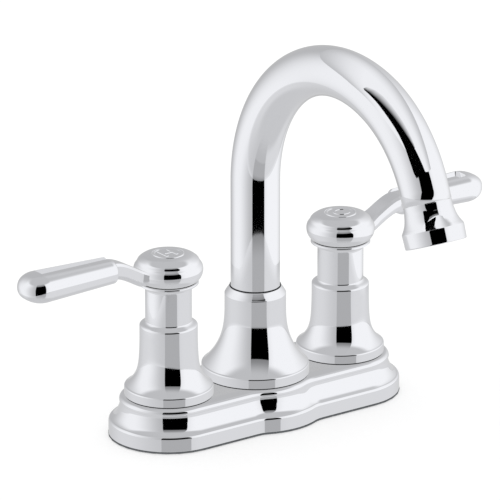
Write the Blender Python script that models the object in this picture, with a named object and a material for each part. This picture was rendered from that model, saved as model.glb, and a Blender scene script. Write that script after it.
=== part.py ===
# Centerset bathroom faucet on four inch centres, modelled in metres.
# +Z is up, the hot side is -X, the cold side is +X and the spout reaches out along -Y.
# The origin is the middle of the deck plane, which is the underside of the gasket.

import math

import bmesh
import bpy
from mathutils import Matrix, Vector

# Clearances
GAP = 0.0003                    # between two pieces that sit on or in each other
THREAD_GAP = 0.0004             # between a plain male thread and its female thread

# Deck plate and gasket
HANDLE_SPACING = 0.1016         # four inches between the two handle axes
GASKET_THICKNESS = 0.0006
GASKET_PROUD = 0.0002           # how far the gasket shows past the plate
END_RADIUS = 0.0289             # outline of the plate round each handle
MIDDLE_RADIUS = 0.0330          # outline of the plate round the spout
WAIST_FILLET = 0.0140           # hollow between the middle lobe and the straight sides
PLATE_HEIGHT = 0.0188
PLATE_WALL = 0.0020
SKIRT_HEIGHT = 0.0059           # upright rim at the foot of the plate
SKIRT_EDGE = 0.0012             # rounding at the top of that rim
COVE_RUN = 0.0044               # how far the hollow moulding goes in
COVE_RISE = 0.0084              # how far the hollow moulding goes up
BEAD = 0.0022                   # rounded bead under the plate's flat top

# Brass waterway inside the plate
CROSSBAR_RADIUS = 0.0052
CROSSBAR_HEIGHT = 0.0102        # from the gasket to the crossbar's centre line
WATERCOURSE_RADIUS = 0.0026
BOSS_RADIUS = 0.0134
BOSS_HEIGHT = 0.0140
BARREL_RADIUS = 0.0102
BARREL_BORE = 0.0086
BARREL_HEIGHT = 0.0463          # from the gasket to the barrel's rim
SEAT_HEIGHT = 0.0072            # from the gasket to the seat of the cartridge
INLET_RADIUS = 0.0048
MIDDLE_BOSS_HEIGHT = 0.0231
POST_THREAD_RADIUS = 0.0059
LOCKNUT_THICKNESS = 0.0036
LOCKNUT_FLATS = 0.0270

# Shanks and mounting hardware under the deck
SHANK_RADIUS = 0.0104
SHANK_BORE = 0.0062
SHANK_LENGTH = 0.0480           # below the deck plane
SHANK_ENGAGEMENT = 0.0050       # screwed up into the waterway's boss
DECK_THICKNESS = 0.0200         # counter or basin ledge that the nuts clamp
MOUNTING_WASHER_RADIUS = 0.0175
MOUNTING_WASHER_THICKNESS = 0.0020
MOUNTING_NUT_RADIUS = 0.0145
MOUNTING_NUT_HEIGHT = 0.0120
WING_REACH = 0.0210
WING_THICKNESS = 0.0040

# Bonnets, the pedestals under the handles
BONNET_RING_RADIUS = 0.0213
BONNET_RING_HEIGHT = 0.0050
RING_EDGE = 0.0009              # rounding at the top of a bonnet's or base's ring
BONNET_NECK_RADIUS = 0.01385
BONNET_FLARE_HEIGHT = 0.0249
BONNET_FLARE_POWER = 5.5
BONNET_SHOULDER_HEIGHT = 0.0348  # above the plate, where the neck ends
BONNET_SHOULDER_RISE = 0.0034
FLARE_SPREAD = 0.16             # part of a flare that follows its gentler curve
FLARE_GENTLE_POWER = 1.6
STEM_SLEEVE_RADIUS = 0.0111
LIP_RADIUS = 0.0141
LIP_HEIGHT = 0.0042
BONNET_HEIGHT = 0.0573          # above the plate, to the seam under the hub
BONNET_WALL = 0.0018

# Cartridges
CARTRIDGE_RADIUS = 0.0075
CARTRIDGE_WALL = 0.0012
CARTRIDGE_FLANGE = 0.0020
CARTRIDGE_NECK_RADIUS = 0.0064
CARTRIDGE_NECK_HEIGHT = 0.0130
SEAT_SEAL_THICKNESS = 0.0020
DISC_RADIUS = 0.0062
DISC_THICKNESS = 0.0030
STEM_RADIUS = 0.0042
STEM_TOP = 0.0635               # above the plate
STEM_FOOT_HEIGHT = 0.0042
O_RING_SECTION = 0.0011
CARTRIDGE_NUT_RADIUS = 0.0119
CARTRIDGE_NUT_SKIRT = 0.0080
CARTRIDGE_NUT_TOP = 0.0024

# Lever handles
HUB_RADIUS = 0.0165
HUB_HEIGHT = 0.0130
HUB_DOME_RADIUS = 0.0075        # where the hub's dome has levelled off
HUB_BOSS_RADIUS = 0.0072
HUB_BOSS_DEPTH = 0.0085
BUTTON_RADIUS = 0.0075
BUTTON_THICKNESS = 0.0022
BUTTON_PROUD = 0.0003
SCREW_RADIUS = 0.0022
SCREW_HEAD_RADIUS = 0.0042
SCREW_HEAD_HEIGHT = 0.0030
SCREW_LENGTH = 0.0110
GUIDE_WALL = 0.0014
GUIDE_HEIGHT = 0.0070
ARM_START = 0.0090              # distance from the handle axis
ARM_LEVEL_FROM = 0.0340         # where the arm has risen to the grip
ARM_END = 0.0420
ARM_LOW_TOP = 0.0639            # top of the arm above the plate at the hub
ARM_HIGH_TOP = 0.0735           # top of the arm above the plate at the grip
ARM_TOP_HALF_WIDTH = 0.0040     # half the arm's flat top, and of the sunk strip
ARM_HALF_WIDTH = 0.0052
ARM_DEPTH = 0.0085
ARM_EDGE = 0.0012               # height of the flanks just under the flat top
ARM_LIFT = 0.0007               # least height of the arm's belly over the hub's seat
GRIP_START = 0.0320
GRIP_END = 0.0838
GRIP_CENTRE_HEIGHT = 0.0693     # above the plate
GRIP_HALF_WIDTH = 0.0105
GRIP_HALF_HEIGHT = 0.0073
GRIP_NARROWING = 0.0028         # how much less its half width is at its inner end
GRIP_THINNING = 0.0014          # how much less its half height is there
GRIP_SQUARENESS = 0.80          # 1 is an oval, 0 a rectangle
GRIP_INNER_DOME = 0.0026
GRIP_OUTER_DOME = 0.0109
CHANNEL_END = 0.0735            # how far the sunk strip runs along the grip

# Gooseneck and outlet
TUBE_RADIUS = 0.0118
TUBE_WALL = 0.0014
ARCH_START = 0.1168             # height above the deck where the bend starts
ARCH_RADIUS = 0.0705
ARCH_TURN = 112.0               # degrees turned on the first radius
ARCH_END_RADIUS = 0.0620
ARCH_TOTAL_TURN = 158.5         # degrees turned in all
TIP_STRAIGHT = 0.0055           # straight tube before the outlet piece
TIP_LENGTH = 0.0194
TIP_BAND_RADIUS = TUBE_RADIUS + 0.00275
TIP_BAND_HEIGHT = 0.0072
TIP_WALL = 0.0016
TIP_RIM_WALL = 0.0026           # between the band and the aerator's thread
TIP_SPIGOT = 0.0060
AERATOR_RADIUS = TIP_BAND_RADIUS - TIP_RIM_WALL - GAP
AERATOR_HEIGHT = 0.0090
AERATOR_INSET = 0.0010
AERATOR_WASHER_THICKNESS = 0.0018

# Spout base
BASE_RING_RADIUS = 0.0259
BASE_RING_HEIGHT = 0.0055
BASE_NECK_PROUD = 0.00265       # how far the neck stands out round the tube's clearance
BASE_NECK_RADIUS = TUBE_RADIUS + GAP + BASE_NECK_PROUD
BASE_FLARE_HEIGHT = 0.0280
BASE_FLARE_POWER = 2.95
BASE_SHOULDER_HEIGHT = 0.0418
BASE_HEIGHT = 0.0444
BASE_WALL = 0.0015

# Spout post and swivel
BUSHING_WALL = TUBE_RADIUS / 6
POST_RADIUS = TUBE_RADIUS - TUBE_WALL - BUSHING_WALL - 2 * GAP
POST_BORE = POST_RADIUS / 2
TUBE_FLANGE_PROUD = 0.0010
POST_COLLAR_RADIUS = TUBE_RADIUS + TUBE_FLANGE_PROUD
POST_COLLAR_HEIGHT = 0.0032
POST_HEIGHT = 0.0290            # above its collar
POST_RING_SPACING = 0.0050      # from the post's top down to each O-ring
GLIDE_WASHER_THICKNESS = 0.0009
RETAINING_NUT_WALL = 0.0024
RETAINING_NUT_LIP = 0.0022
TUBE_FLANGE_HEIGHT = 0.0020
BUSHING_HEIGHT = 0.0100
SPOUT_RING_SECTION = 0.0014

# Facets
ROUND = 28                      # sides of the large turned pieces
SMALL_ROUND = 18                # sides of the small turned pieces
TUBE_SIDES = 20

# Heights and places that follow from the sizes above
HANDLE_X = HANDLE_SPACING / 2
PLATE_BOTTOM = GASKET_THICKNESS + GAP
PLATE_TOP = PLATE_BOTTOM + PLATE_HEIGHT
SEAM = PLATE_TOP + GAP
BARREL_TOP = PLATE_BOTTOM + BARREL_HEIGHT
SEAT_Z = PLATE_BOTTOM + SEAT_HEIGHT
BONNET_TOP = PLATE_TOP + BONNET_HEIGHT
HUB_BOTTOM = BONNET_TOP + GAP
HUB_TOP = HUB_BOTTOM + HUB_HEIGHT
SLEEVE_BORE = STEM_SLEEVE_RADIUS - BONNET_WALL
BONNET_BORE = CARTRIDGE_NUT_RADIUS + GAP
POST_COLLAR_Z = PLATE_BOTTOM + MIDDLE_BOSS_HEIGHT + GAP
POST_SHOULDER = POST_COLLAR_Z + POST_COLLAR_HEIGHT
TUBE_BOTTOM = POST_SHOULDER + GLIDE_WASHER_THICKNESS + 2 * GAP
TUBE_BORE = TUBE_RADIUS - TUBE_WALL
SIDES = (("hot", -1), ("cold", 1))


def make_material(name, colour, metallic, roughness):
    material = bpy.data.materials.new(name)
    material.use_nodes = True
    shader = material.node_tree.nodes["Principled BSDF"]
    shader.inputs["Base Color"].default_value = (*colour, 1.0)
    shader.inputs["Metallic"].default_value = metallic
    shader.inputs["Roughness"].default_value = roughness
    return material


def add_object(name, mesh, material, parent=None, sharp_angle=35):
    """Link a mesh as a named sub-part, shaded smooth with its crisp edges kept."""
    mesh.shade_smooth()
    mesh.set_sharp_from_angle(angle=math.radians(sharp_angle))
    mesh.materials.append(material)
    part = bpy.data.objects.new(name, mesh)
    bpy.context.collection.objects.link(part)
    if parent is not None:
        part.parent = parent
        part.matrix_parent_inverse = parent.matrix_world.inverted()
    return part


def finish_mesh(bm, name):
    bmesh.ops.remove_doubles(bm, verts=bm.verts, dist=0.000001)
    bmesh.ops.recalc_face_normals(bm, faces=bm.faces)
    mesh = bpy.data.meshes.new(name)
    bm.to_mesh(mesh)
    bm.free()
    return mesh


def turned_mesh(name, profile, sides, centre=(0, 0, 0)):
    """Spin a profile of (radius, height) points round the vertical axis.

    A profile that starts and ends on the axis gives a solid piece, and any other
    is closed into a loop, which gives a ring or a sleeve."""
    bm = bmesh.new()
    verts = [bm.verts.new((radius, 0, height)) for radius, height in profile]
    edges = [bm.edges.new(pair) for pair in zip(verts, verts[1:])]
    on_axis = profile[0][0] == 0 and profile[-1][0] == 0
    if not on_axis:
        edges.append(bm.edges.new((verts[-1], verts[0])))
    bmesh.ops.spin(bm, geom=verts + edges, cent=(0, 0, 0), axis=(0, 0, 1),
                   angle=math.tau, steps=sides)
    bmesh.ops.remove_doubles(bm, verts=bm.verts, dist=0.000001)
    bmesh.ops.translate(bm, verts=bm.verts, vec=centre)
    return finish_mesh(bm, name)


def lofted_mesh(name, rings, capped=True, looped=False):
    """Join rings of points, each with the same count, into one closed skin."""
    bm = bmesh.new()
    rows = [[bm.verts.new(point) for point in ring] for ring in rings]
    pairs = list(zip(rows, rows[1:]))
    if looped:
        pairs.append((rows[-1], rows[0]))
    count = len(rows[0])
    for lower, upper in pairs:
        for i in range(count):
            j = (i + 1) % count
            bm.faces.new((lower[i], lower[j], upper[j], upper[i]))
    if capped:
        bm.faces.new(list(reversed(rows[0])))
        bm.faces.new(rows[-1])
    return finish_mesh(bm, name)


def make_cutter(mesh):
    """A helper shape for a Boolean, which is never a sub-part itself."""
    cutter = bpy.data.objects.new("cutter_" + mesh.name, mesh)
    bpy.context.collection.objects.link(cutter)
    cutter.hide_render = True
    cutter.display_type = 'WIRE'
    return cutter


def boolean(part, mesh, operation='DIFFERENCE'):
    modifier = part.modifiers.new(operation.title(), 'BOOLEAN')
    modifier.operation = operation
    modifier.solver = 'EXACT'
    modifier.object = make_cutter(mesh)


def cylinder_mesh(name, radius, low, high, sides, centre=(0, 0)):
    profile = [(0, low), (radius, low), (radius, high), (0, high)]
    return turned_mesh(name, profile, sides, (centre[0], centre[1], 0))


def bar_mesh(name, radius, length, height, sides):
    """A round bar lying along X, centred on the spout axis."""
    rings = []
    for x in (-length / 2, length / 2):
        ring = []
        for i in range(sides):
            angle = math.tau * (i + 0.5) / sides
            ring.append((x, radius * math.cos(angle), height + radius * math.sin(angle)))
        rings.append(ring)
    return lofted_mesh(name, rings)


def arc(centre, radii, start, end, steps):
    """Points on an elliptical arc in the (radius, height) plane, angles in degrees."""
    points = []
    for i in range(steps + 1):
        angle = math.radians(start + (end - start) * i / steps)
        points.append((centre[0] + radii[0] * math.cos(angle),
                       centre[1] + radii[1] * math.sin(angle)))
    return points


def empty_at(name, location):
    pivot = bpy.data.objects.new(name, None)
    pivot.empty_display_size = 0.01
    pivot.location = location
    bpy.context.collection.objects.link(pivot)
    bpy.context.view_layer.update()
    return pivot


def plate_outline(grow, height):
    """The three-lobed outline of the plate, moved outwards by grow.

    The middle lobe is an arc round the spout axis, each end lobe an arc round a
    handle axis, and a hollow fillet leads from the middle lobe to the straight side."""
    fillet_y = END_RADIUS + WAIST_FILLET
    reach = MIDDLE_RADIUS + WAIST_FILLET
    fillet_x = math.sqrt(reach * reach - fillet_y * fillet_y)
    meet = math.atan2(-fillet_y, fillet_x)
    quarter = []
    middle_steps, fillet_steps, end_steps = 4, 3, 7
    for i in range(middle_steps + 1):
        angle = -math.pi / 2 + (meet + math.pi / 2) * i / middle_steps
        radius = MIDDLE_RADIUS + grow
        quarter.append((radius * math.cos(angle), radius * math.sin(angle)))
    for i in range(1, fillet_steps + 1):
        angle = meet + math.pi + (math.pi / 2 - meet - math.pi) * i / fillet_steps
        radius = WAIST_FILLET - grow
        quarter.append((fillet_x + radius * math.cos(angle),
                        -fillet_y + radius * math.sin(angle)))
    for i in range(end_steps + 1):
        angle = -math.pi / 2 + math.pi / 2 * i / end_steps
        radius = END_RADIUS + grow
        quarter.append((HANDLE_X + radius * math.cos(angle), radius * math.sin(angle)))
    right = quarter + [(x, -y) for x, y in reversed(quarter[:-1])]
    left = [(-x, -y) for x, y in right[1:-1]]
    return [(x, y, height) for x, y in right + left]


def plate_sections():
    """(inset, height) pairs up the outside of the plate and back down its inside."""
    skirt_top = PLATE_BOTTOM + SKIRT_HEIGHT
    ledge = skirt_top + SKIRT_EDGE
    cove_top = ledge + COVE_RISE
    outside = [(0, PLATE_BOTTOM), (0, skirt_top)]
    outside += arc((-SKIRT_EDGE, skirt_top), (SKIRT_EDGE, SKIRT_EDGE), 30, 90, 2)
    outside += arc((-SKIRT_EDGE, cove_top), (COVE_RUN, COVE_RISE), 250, 180, 5)
    bead_z = PLATE_TOP - BEAD * 0.75
    bead_out = -SKIRT_EDGE - COVE_RUN + BEAD * 0.2
    outside += arc((bead_out - BEAD * 0.6, bead_z), (BEAD * 0.6, BEAD * 0.75), -10, 90, 4)
    cove_inside = -SKIRT_EDGE - COVE_RUN - PLATE_WALL
    inside = [(cove_inside - 0.0002, PLATE_TOP - PLATE_WALL),
              (cove_inside, cove_top - COVE_RISE * 0.2),
              (-PLATE_WALL - SKIRT_EDGE - COVE_RUN * 0.55, ledge + COVE_RISE * 0.2),
              (-PLATE_WALL, skirt_top - SKIRT_EDGE),
              (-PLATE_WALL, PLATE_BOTTOM)]
    return outside, inside


def build_plate(material):
    outside, inside = plate_sections()
    lift = [plate_outline(inset, height) for inset, height in outside]
    drop = [plate_outline(inset, height) for inset, height in inside]
    outer = lofted_mesh("escutcheon_plate", lift)
    plate = add_object("escutcheon_plate", outer, material, sharp_angle=30)
    below = [(x, y, PLATE_BOTTOM - 0.002) for x, y, _ in drop[-1]]
    boolean(plate, lofted_mesh("plate_inside", [below] + list(reversed(drop))))
    hole = BARREL_RADIUS + THREAD_GAP
    low, high = PLATE_TOP - 2 * PLATE_WALL, PLATE_TOP + 0.002
    for x in (-HANDLE_X, 0, HANDLE_X):
        boolean(plate, cylinder_mesh("plate_hole", hole, low, high, SMALL_ROUND, (x, 0)))


def build_gasket(material):
    rings = [plate_outline(GASKET_PROUD, height) for height in (0, GASKET_THICKNESS)]
    gasket = add_object("deck_gasket", lofted_mesh("deck_gasket", rings), material)
    for _, side in SIDES:
        hole = cylinder_mesh("gasket_hole", SHANK_RADIUS + GAP, -0.001,
                             GASKET_THICKNESS + 0.001, SMALL_ROUND, (side * HANDLE_X, 0))
        boolean(gasket, hole)


def build_waterway(material):
    """One brass casting: a valve barrel at each side, a middle boss and a crossbar."""
    bar_z = PLATE_BOTTOM + CROSSBAR_HEIGHT
    length = HANDLE_SPACING - BARREL_RADIUS
    bar = bar_mesh("waterway_body", CROSSBAR_RADIUS, length, bar_z, 14)
    body = add_object("waterway_body", bar, material)
    boss_top = PLATE_BOTTOM + BOSS_HEIGHT
    for _, side in SIDES:
        profile = [(0, PLATE_BOTTOM), (BOSS_RADIUS, PLATE_BOTTOM),
                   (BOSS_RADIUS, boss_top), (BARREL_RADIUS, boss_top + 0.0015),
                   (BARREL_RADIUS, BARREL_TOP), (0, BARREL_TOP)]
        boolean(body, turned_mesh("barrel", profile, SMALL_ROUND, (side * HANDLE_X, 0, 0)),
                'UNION')
    profile = [(0, PLATE_BOTTOM), (BOSS_RADIUS, PLATE_BOTTOM),
               (BOSS_RADIUS, boss_top), (BARREL_RADIUS, boss_top + 0.0015),
               (BARREL_RADIUS, PLATE_BOTTOM + MIDDLE_BOSS_HEIGHT),
               (0, PLATE_BOTTOM + MIDDLE_BOSS_HEIGHT)]
    boolean(body, turned_mesh("middle_boss", profile, SMALL_ROUND), 'UNION')
    length = HANDLE_SPACING - BARREL_BORE
    boolean(body, bar_mesh("watercourse", WATERCOURSE_RADIUS, length, bar_z, 10))
    bore_sides = SMALL_ROUND + 2
    socket = SHANK_RADIUS + THREAD_GAP
    socket_top = PLATE_BOTTOM + SHANK_ENGAGEMENT + GAP
    for _, side in SIDES:
        profile = [(0, PLATE_BOTTOM - 0.001), (socket, PLATE_BOTTOM - 0.001),
                   (socket, socket_top), (INLET_RADIUS, socket_top),
                   (INLET_RADIUS, SEAT_Z), (BARREL_BORE, SEAT_Z),
                   (BARREL_BORE, BARREL_TOP + 0.001), (0, BARREL_TOP + 0.001)]
        boolean(body, turned_mesh("barrel_bore", profile, bore_sides,
                                  (side * HANDLE_X, 0, 0)))
    thread = POST_THREAD_RADIUS + THREAD_GAP
    boolean(body, cylinder_mesh("post_thread", thread, bar_z - WATERCOURSE_RADIUS - 0.0005,
                                PLATE_BOTTOM + MIDDLE_BOSS_HEIGHT + 0.001, bore_sides))


def hexagon_nut(name, flats, bore, low, high, material, centre=(0, 0)):
    """A plain hexagon nut: a six-sided prism with a round bore."""
    across_corners = flats / math.cos(math.pi / 6)
    mesh = cylinder_mesh(name, across_corners / 2, low, high, 6, centre)
    nut = add_object(name, mesh, material, sharp_angle=20)
    boolean(nut, cylinder_mesh(name + "_bore", bore, low - 0.001, high + 0.001,
                               SMALL_ROUND, centre))
    return nut


def sleeve(name, inner, outer, low, high, material, centre=(0, 0), parent=None, sides=None):
    profile = [(inner, low), (outer, low), (outer, high), (inner, high)]
    mesh = turned_mesh(name, profile, sides or SMALL_ROUND, (centre[0], centre[1], 0))
    return add_object(name, mesh, material, parent)


def o_ring(name, middle_radius, section, height, material, centre=(0, 0), parent=None):
    profile = arc((middle_radius, height), (section, section), 0, 300, 5)
    mesh = turned_mesh(name, profile, 16, (centre[0], centre[1], 0))
    return add_object(name, mesh, material, parent, sharp_angle=80)


def flare(ring_radius, neck_radius, low, height, power, steps):
    """The trumpet curve of a bonnet or base, from its ring in to its neck."""
    points = []
    for i in range(steps + 1):
        t = (i / steps) ** 1.5
        steep = (1 - FLARE_SPREAD) * (1 - t) ** power
        gentle = FLARE_SPREAD * (1 - t) ** FLARE_GENTLE_POWER
        radius = neck_radius + (ring_radius - neck_radius) * (steep + gentle)
        points.append((radius, low + height * t))
    return points


def ring_and_flare(ring_radius, neck_radius, ring_top, height, power, steps):
    """Upright ring with a rounded top edge, and the flare that rises from it."""
    points = [(ring_radius, SEAM)]
    points += arc((ring_radius - RING_EDGE, ring_top - RING_EDGE), (RING_EDGE, RING_EDGE), 0, 70, 2)
    return points + flare(ring_radius - RING_EDGE, neck_radius, ring_top, height, power, steps)


def build_bonnet(name, x, material):
    ring_top = PLATE_TOP + BONNET_RING_HEIGHT
    outer = ring_and_flare(BONNET_RING_RADIUS, BONNET_NECK_RADIUS, ring_top,
                           BONNET_FLARE_HEIGHT, BONNET_FLARE_POWER, 7)
    shoulder = PLATE_TOP + BONNET_SHOULDER_HEIGHT
    step = BONNET_NECK_RADIUS - STEM_SLEEVE_RADIUS
    outer += arc((BONNET_NECK_RADIUS - step / 2, shoulder), (step / 2, BONNET_SHOULDER_RISE / 2),
                 0, 80, 2)
    outer += arc((STEM_SLEEVE_RADIUS + step / 2, shoulder + BONNET_SHOULDER_RISE),
                 (step / 2, BONNET_SHOULDER_RISE / 2), 260, 180, 2)
    lip_low = BONNET_TOP - LIP_HEIGHT
    flange = LIP_RADIUS - STEM_SLEEVE_RADIUS
    outer += arc((LIP_RADIUS, lip_low), (flange, LIP_HEIGHT * 0.7), 180, 100, 2)
    outer += [(LIP_RADIUS, lip_low + LIP_HEIGHT * 0.78), (LIP_RADIUS, BONNET_TOP)]
    inside_top = shoulder - BONNET_WALL
    flare_inside = flare(BONNET_RING_RADIUS - BONNET_WALL, BONNET_BORE, ring_top - 0.002,
                         BONNET_FLARE_HEIGHT * 0.6, BONNET_FLARE_POWER / 2, 2)
    inner = [(SLEEVE_BORE, BONNET_TOP), (SLEEVE_BORE, inside_top + 0.0015),
             (BONNET_BORE, inside_top)]
    inner += list(reversed(flare_inside))
    inner.append((BONNET_RING_RADIUS - BONNET_WALL, SEAM))
    mesh = turned_mesh(name, outer + inner, ROUND, (x, 0, 0))
    add_object(name, mesh, material, sharp_angle=40)


def disc_with_ports(name, low, high, turn, material, x, parent=None):
    """A ceramic disc with two wedge-shaped ports, which a quarter turn lines up or shuts."""
    disc = add_object(name, cylinder_mesh(name, DISC_RADIUS, low, high, SMALL_ROUND, (x, 0)),
                      material, parent)
    for half in (0, math.pi):
        wedge = []
        for radius, angles in ((DISC_RADIUS * 0.75, (-35, -12, 12, 35)),
                               (DISC_RADIUS * 0.25, (35, -35))):
            for angle in angles:
                direction = math.radians(angle) + half + turn
                wedge.append((x + radius * math.cos(direction), radius * math.sin(direction)))
        rings = [[(a, b, z) for a, b in wedge] for z in (low - 0.001, high + 0.001)]
        boolean(disc, lofted_mesh(name + "_port", rings))
    return disc


def build_valve(label, side, metals, pivot):
    """The cartridge in one barrel, from its seat seal up to the stem, and its nut."""
    x = side * HANDLE_X
    centre = (x, 0)
    seal_top = SEAT_Z + GAP + SEAT_SEAL_THICKNESS
    sleeve(label + "_seat_seal", INLET_RADIUS - 0.0008, CARTRIDGE_RADIUS, SEAT_Z + GAP,
           seal_top, metals["rubber"], centre)
    body_low = seal_top + GAP
    inner = CARTRIDGE_RADIUS - CARTRIDGE_WALL
    turning_low = body_low + DISC_THICKNESS + GAP
    foot_low = turning_low + DISC_THICKNESS + GAP
    foot_top = foot_low + STEM_FOOT_HEIGHT
    bore = STEM_RADIUS + GAP
    flange_low = BARREL_TOP + GAP
    flange_top = flange_low + CARTRIDGE_FLANGE
    neck_top = flange_top + CARTRIDGE_NECK_HEIGHT
    groove = bore + 2 * O_RING_SECTION
    ring_z = flange_top + CARTRIDGE_NECK_HEIGHT / 2
    profile = [(inner, body_low), (CARTRIDGE_RADIUS, body_low), (CARTRIDGE_RADIUS, flange_low),
               (BARREL_RADIUS, flange_low), (BARREL_RADIUS, flange_top),
               (CARTRIDGE_NECK_RADIUS + 0.0004, flange_top), (CARTRIDGE_NECK_RADIUS + 0.0004, neck_top),
               (bore, neck_top),
               (bore, ring_z + O_RING_SECTION + GAP), (groove, ring_z + O_RING_SECTION + GAP),
               (groove, ring_z - O_RING_SECTION - GAP), (bore, ring_z - O_RING_SECTION - GAP),
               (bore, foot_top + GAP), (inner, foot_top + GAP)]
    body = add_object(label + "_cartridge_body",
                      turned_mesh(label + "_cartridge_body", profile, SMALL_ROUND, (x, 0, 0)),
                      metals["brass"])
    window = bmesh.new()
    size = (CARTRIDGE_RADIUS * 2.4, 0.0045, STEM_FOOT_HEIGHT * 0.7, 1)
    bmesh.ops.create_cube(window, size=1, matrix=Matrix.Translation(
        (x, 0, (foot_low + foot_top) / 2)) @ Matrix.Diagonal(size))
    boolean(body, finish_mesh(window, "cartridge_window"))
    disc_with_ports(label + "_fixed_disc", body_low, body_low + DISC_THICKNESS, 0,
                    metals["ceramic"], x)
    disc_with_ports(label + "_turning_disc", turning_low, turning_low + DISC_THICKNESS,
                    math.pi / 2, metals["ceramic"], x, pivot)
    stem_top = PLATE_TOP + STEM_TOP
    tapped = SCREW_RADIUS + GAP
    profile = [(0, foot_low), (DISC_RADIUS, foot_low), (DISC_RADIUS, foot_top),
               (STEM_RADIUS, foot_top), (STEM_RADIUS, stem_top), (tapped, stem_top),
               (tapped, stem_top - SCREW_LENGTH - 0.001), (0, stem_top - SCREW_LENGTH - 0.001)]
    add_object(label + "_stem", turned_mesh(label + "_stem", profile, 16, (x, 0, 0)),
               metals["brass"], pivot)
    o_ring(label + "_stem_o_ring", bore + O_RING_SECTION, O_RING_SECTION - GAP / 2, ring_z,
           metals["rubber"], centre)
    nut_bore = BARREL_RADIUS + THREAD_GAP
    skirt_low = BARREL_TOP - CARTRIDGE_NUT_SKIRT
    nut_inner = CARTRIDGE_NECK_RADIUS + 0.0004 + GAP
    profile = [(nut_bore, skirt_low), (CARTRIDGE_NUT_RADIUS, skirt_low),
               (CARTRIDGE_NUT_RADIUS, flange_top + GAP + CARTRIDGE_NUT_TOP),
               (nut_inner, flange_top + GAP + CARTRIDGE_NUT_TOP),
               (nut_inner, flange_top + GAP), (nut_bore, flange_top + GAP)]
    add_object(label + "_cartridge_nut",
               turned_mesh(label + "_cartridge_nut", profile, SMALL_ROUND, (x, 0, 0)),
               metals["brass"])


def arm_top(distance):
    """Height of the arm's flat top: a smooth rise from the hub to the grip."""
    t = (distance - ARM_START) / (ARM_LEVEL_FROM - ARM_START)
    t = min(max(t, 0.0), 1.0)
    rise = t * t * (3 - 2 * t)
    return PLATE_TOP + ARM_LOW_TOP + (ARM_HIGH_TOP - ARM_LOW_TOP) * rise


def arm_section(distance, x, side):
    """A flat top with crisp edges over rounded flanks and belly."""
    top = arm_top(distance)
    depth = min(ARM_DEPTH, top - HUB_BOTTOM - ARM_LIFT)
    points = [(-ARM_TOP_HALF_WIDTH, top), (0, top), (ARM_TOP_HALF_WIDTH, top)]
    for angle in range(0, 181, 30):
        across = math.cos(math.radians(angle))
        down = math.sin(math.radians(angle))
        y = ARM_HALF_WIDTH * math.copysign(abs(across) ** 0.6, across)
        z = top - ARM_EDGE - (depth - ARM_EDGE) * down ** 0.6
        points.append((y, z))
    return [(x + side * distance, y, z) for y, z in points]


def grip_section(distance, x, side):
    """A squared-off oval that closes to a dome at each end of the grip."""
    along = (distance - GRIP_START) / (GRIP_END - GRIP_START)
    scale = 1.0
    if distance < GRIP_START + GRIP_INNER_DOME:
        scale = 1 - ((GRIP_START + GRIP_INNER_DOME - distance) / GRIP_INNER_DOME) ** 2
    if distance > GRIP_END - GRIP_OUTER_DOME:
        scale = 1 - ((distance - GRIP_END + GRIP_OUTER_DOME) / GRIP_OUTER_DOME) ** 2
    scale = max(scale, 0.02) ** 0.5
    wide = scale * (GRIP_HALF_WIDTH - GRIP_NARROWING * (1 - along))
    high = scale * (GRIP_HALF_HEIGHT - GRIP_THINNING * (1 - along))
    points = []
    for i in range(16):
        angle = math.tau * (i + 0.5) / 16
        across, up = math.cos(angle), math.sin(angle)
        y = wide * math.copysign(abs(across) ** GRIP_SQUARENESS, across)
        z = high * math.copysign(abs(up) ** GRIP_SQUARENESS, up)
        points.append((x + side * distance, y, PLATE_TOP + GRIP_CENTRE_HEIGHT + z))
    return points


def hub_profile():
    """Outside of the hub from its seat up over the bulge, the waist and the domed cap."""
    bulge_z = HUB_BOTTOM + HUB_HEIGHT * 0.388
    groove_z = HUB_BOTTOM + HUB_HEIGHT * 0.70
    cap_z = HUB_TOP - HUB_HEIGHT * 0.25
    outside = [(LIP_RADIUS - 0.0007, HUB_BOTTOM)]
    outside += arc((HUB_RADIUS - 0.0045, bulge_z), (0.0045, bulge_z - HUB_BOTTOM), -70, 0, 3)
    outside += arc((HUB_RADIUS - 0.0045, bulge_z), (0.0045, groove_z - bulge_z + 0.0016), 20, 50, 2)
    outside += [(HUB_RADIUS - 0.0015, groove_z + 0.0006)]
    dome = HUB_RADIUS - 0.0018 - HUB_DOME_RADIUS
    outside += arc((HUB_DOME_RADIUS, cap_z), (dome, HUB_TOP - cap_z), 5, 90, 4)
    return outside


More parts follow.
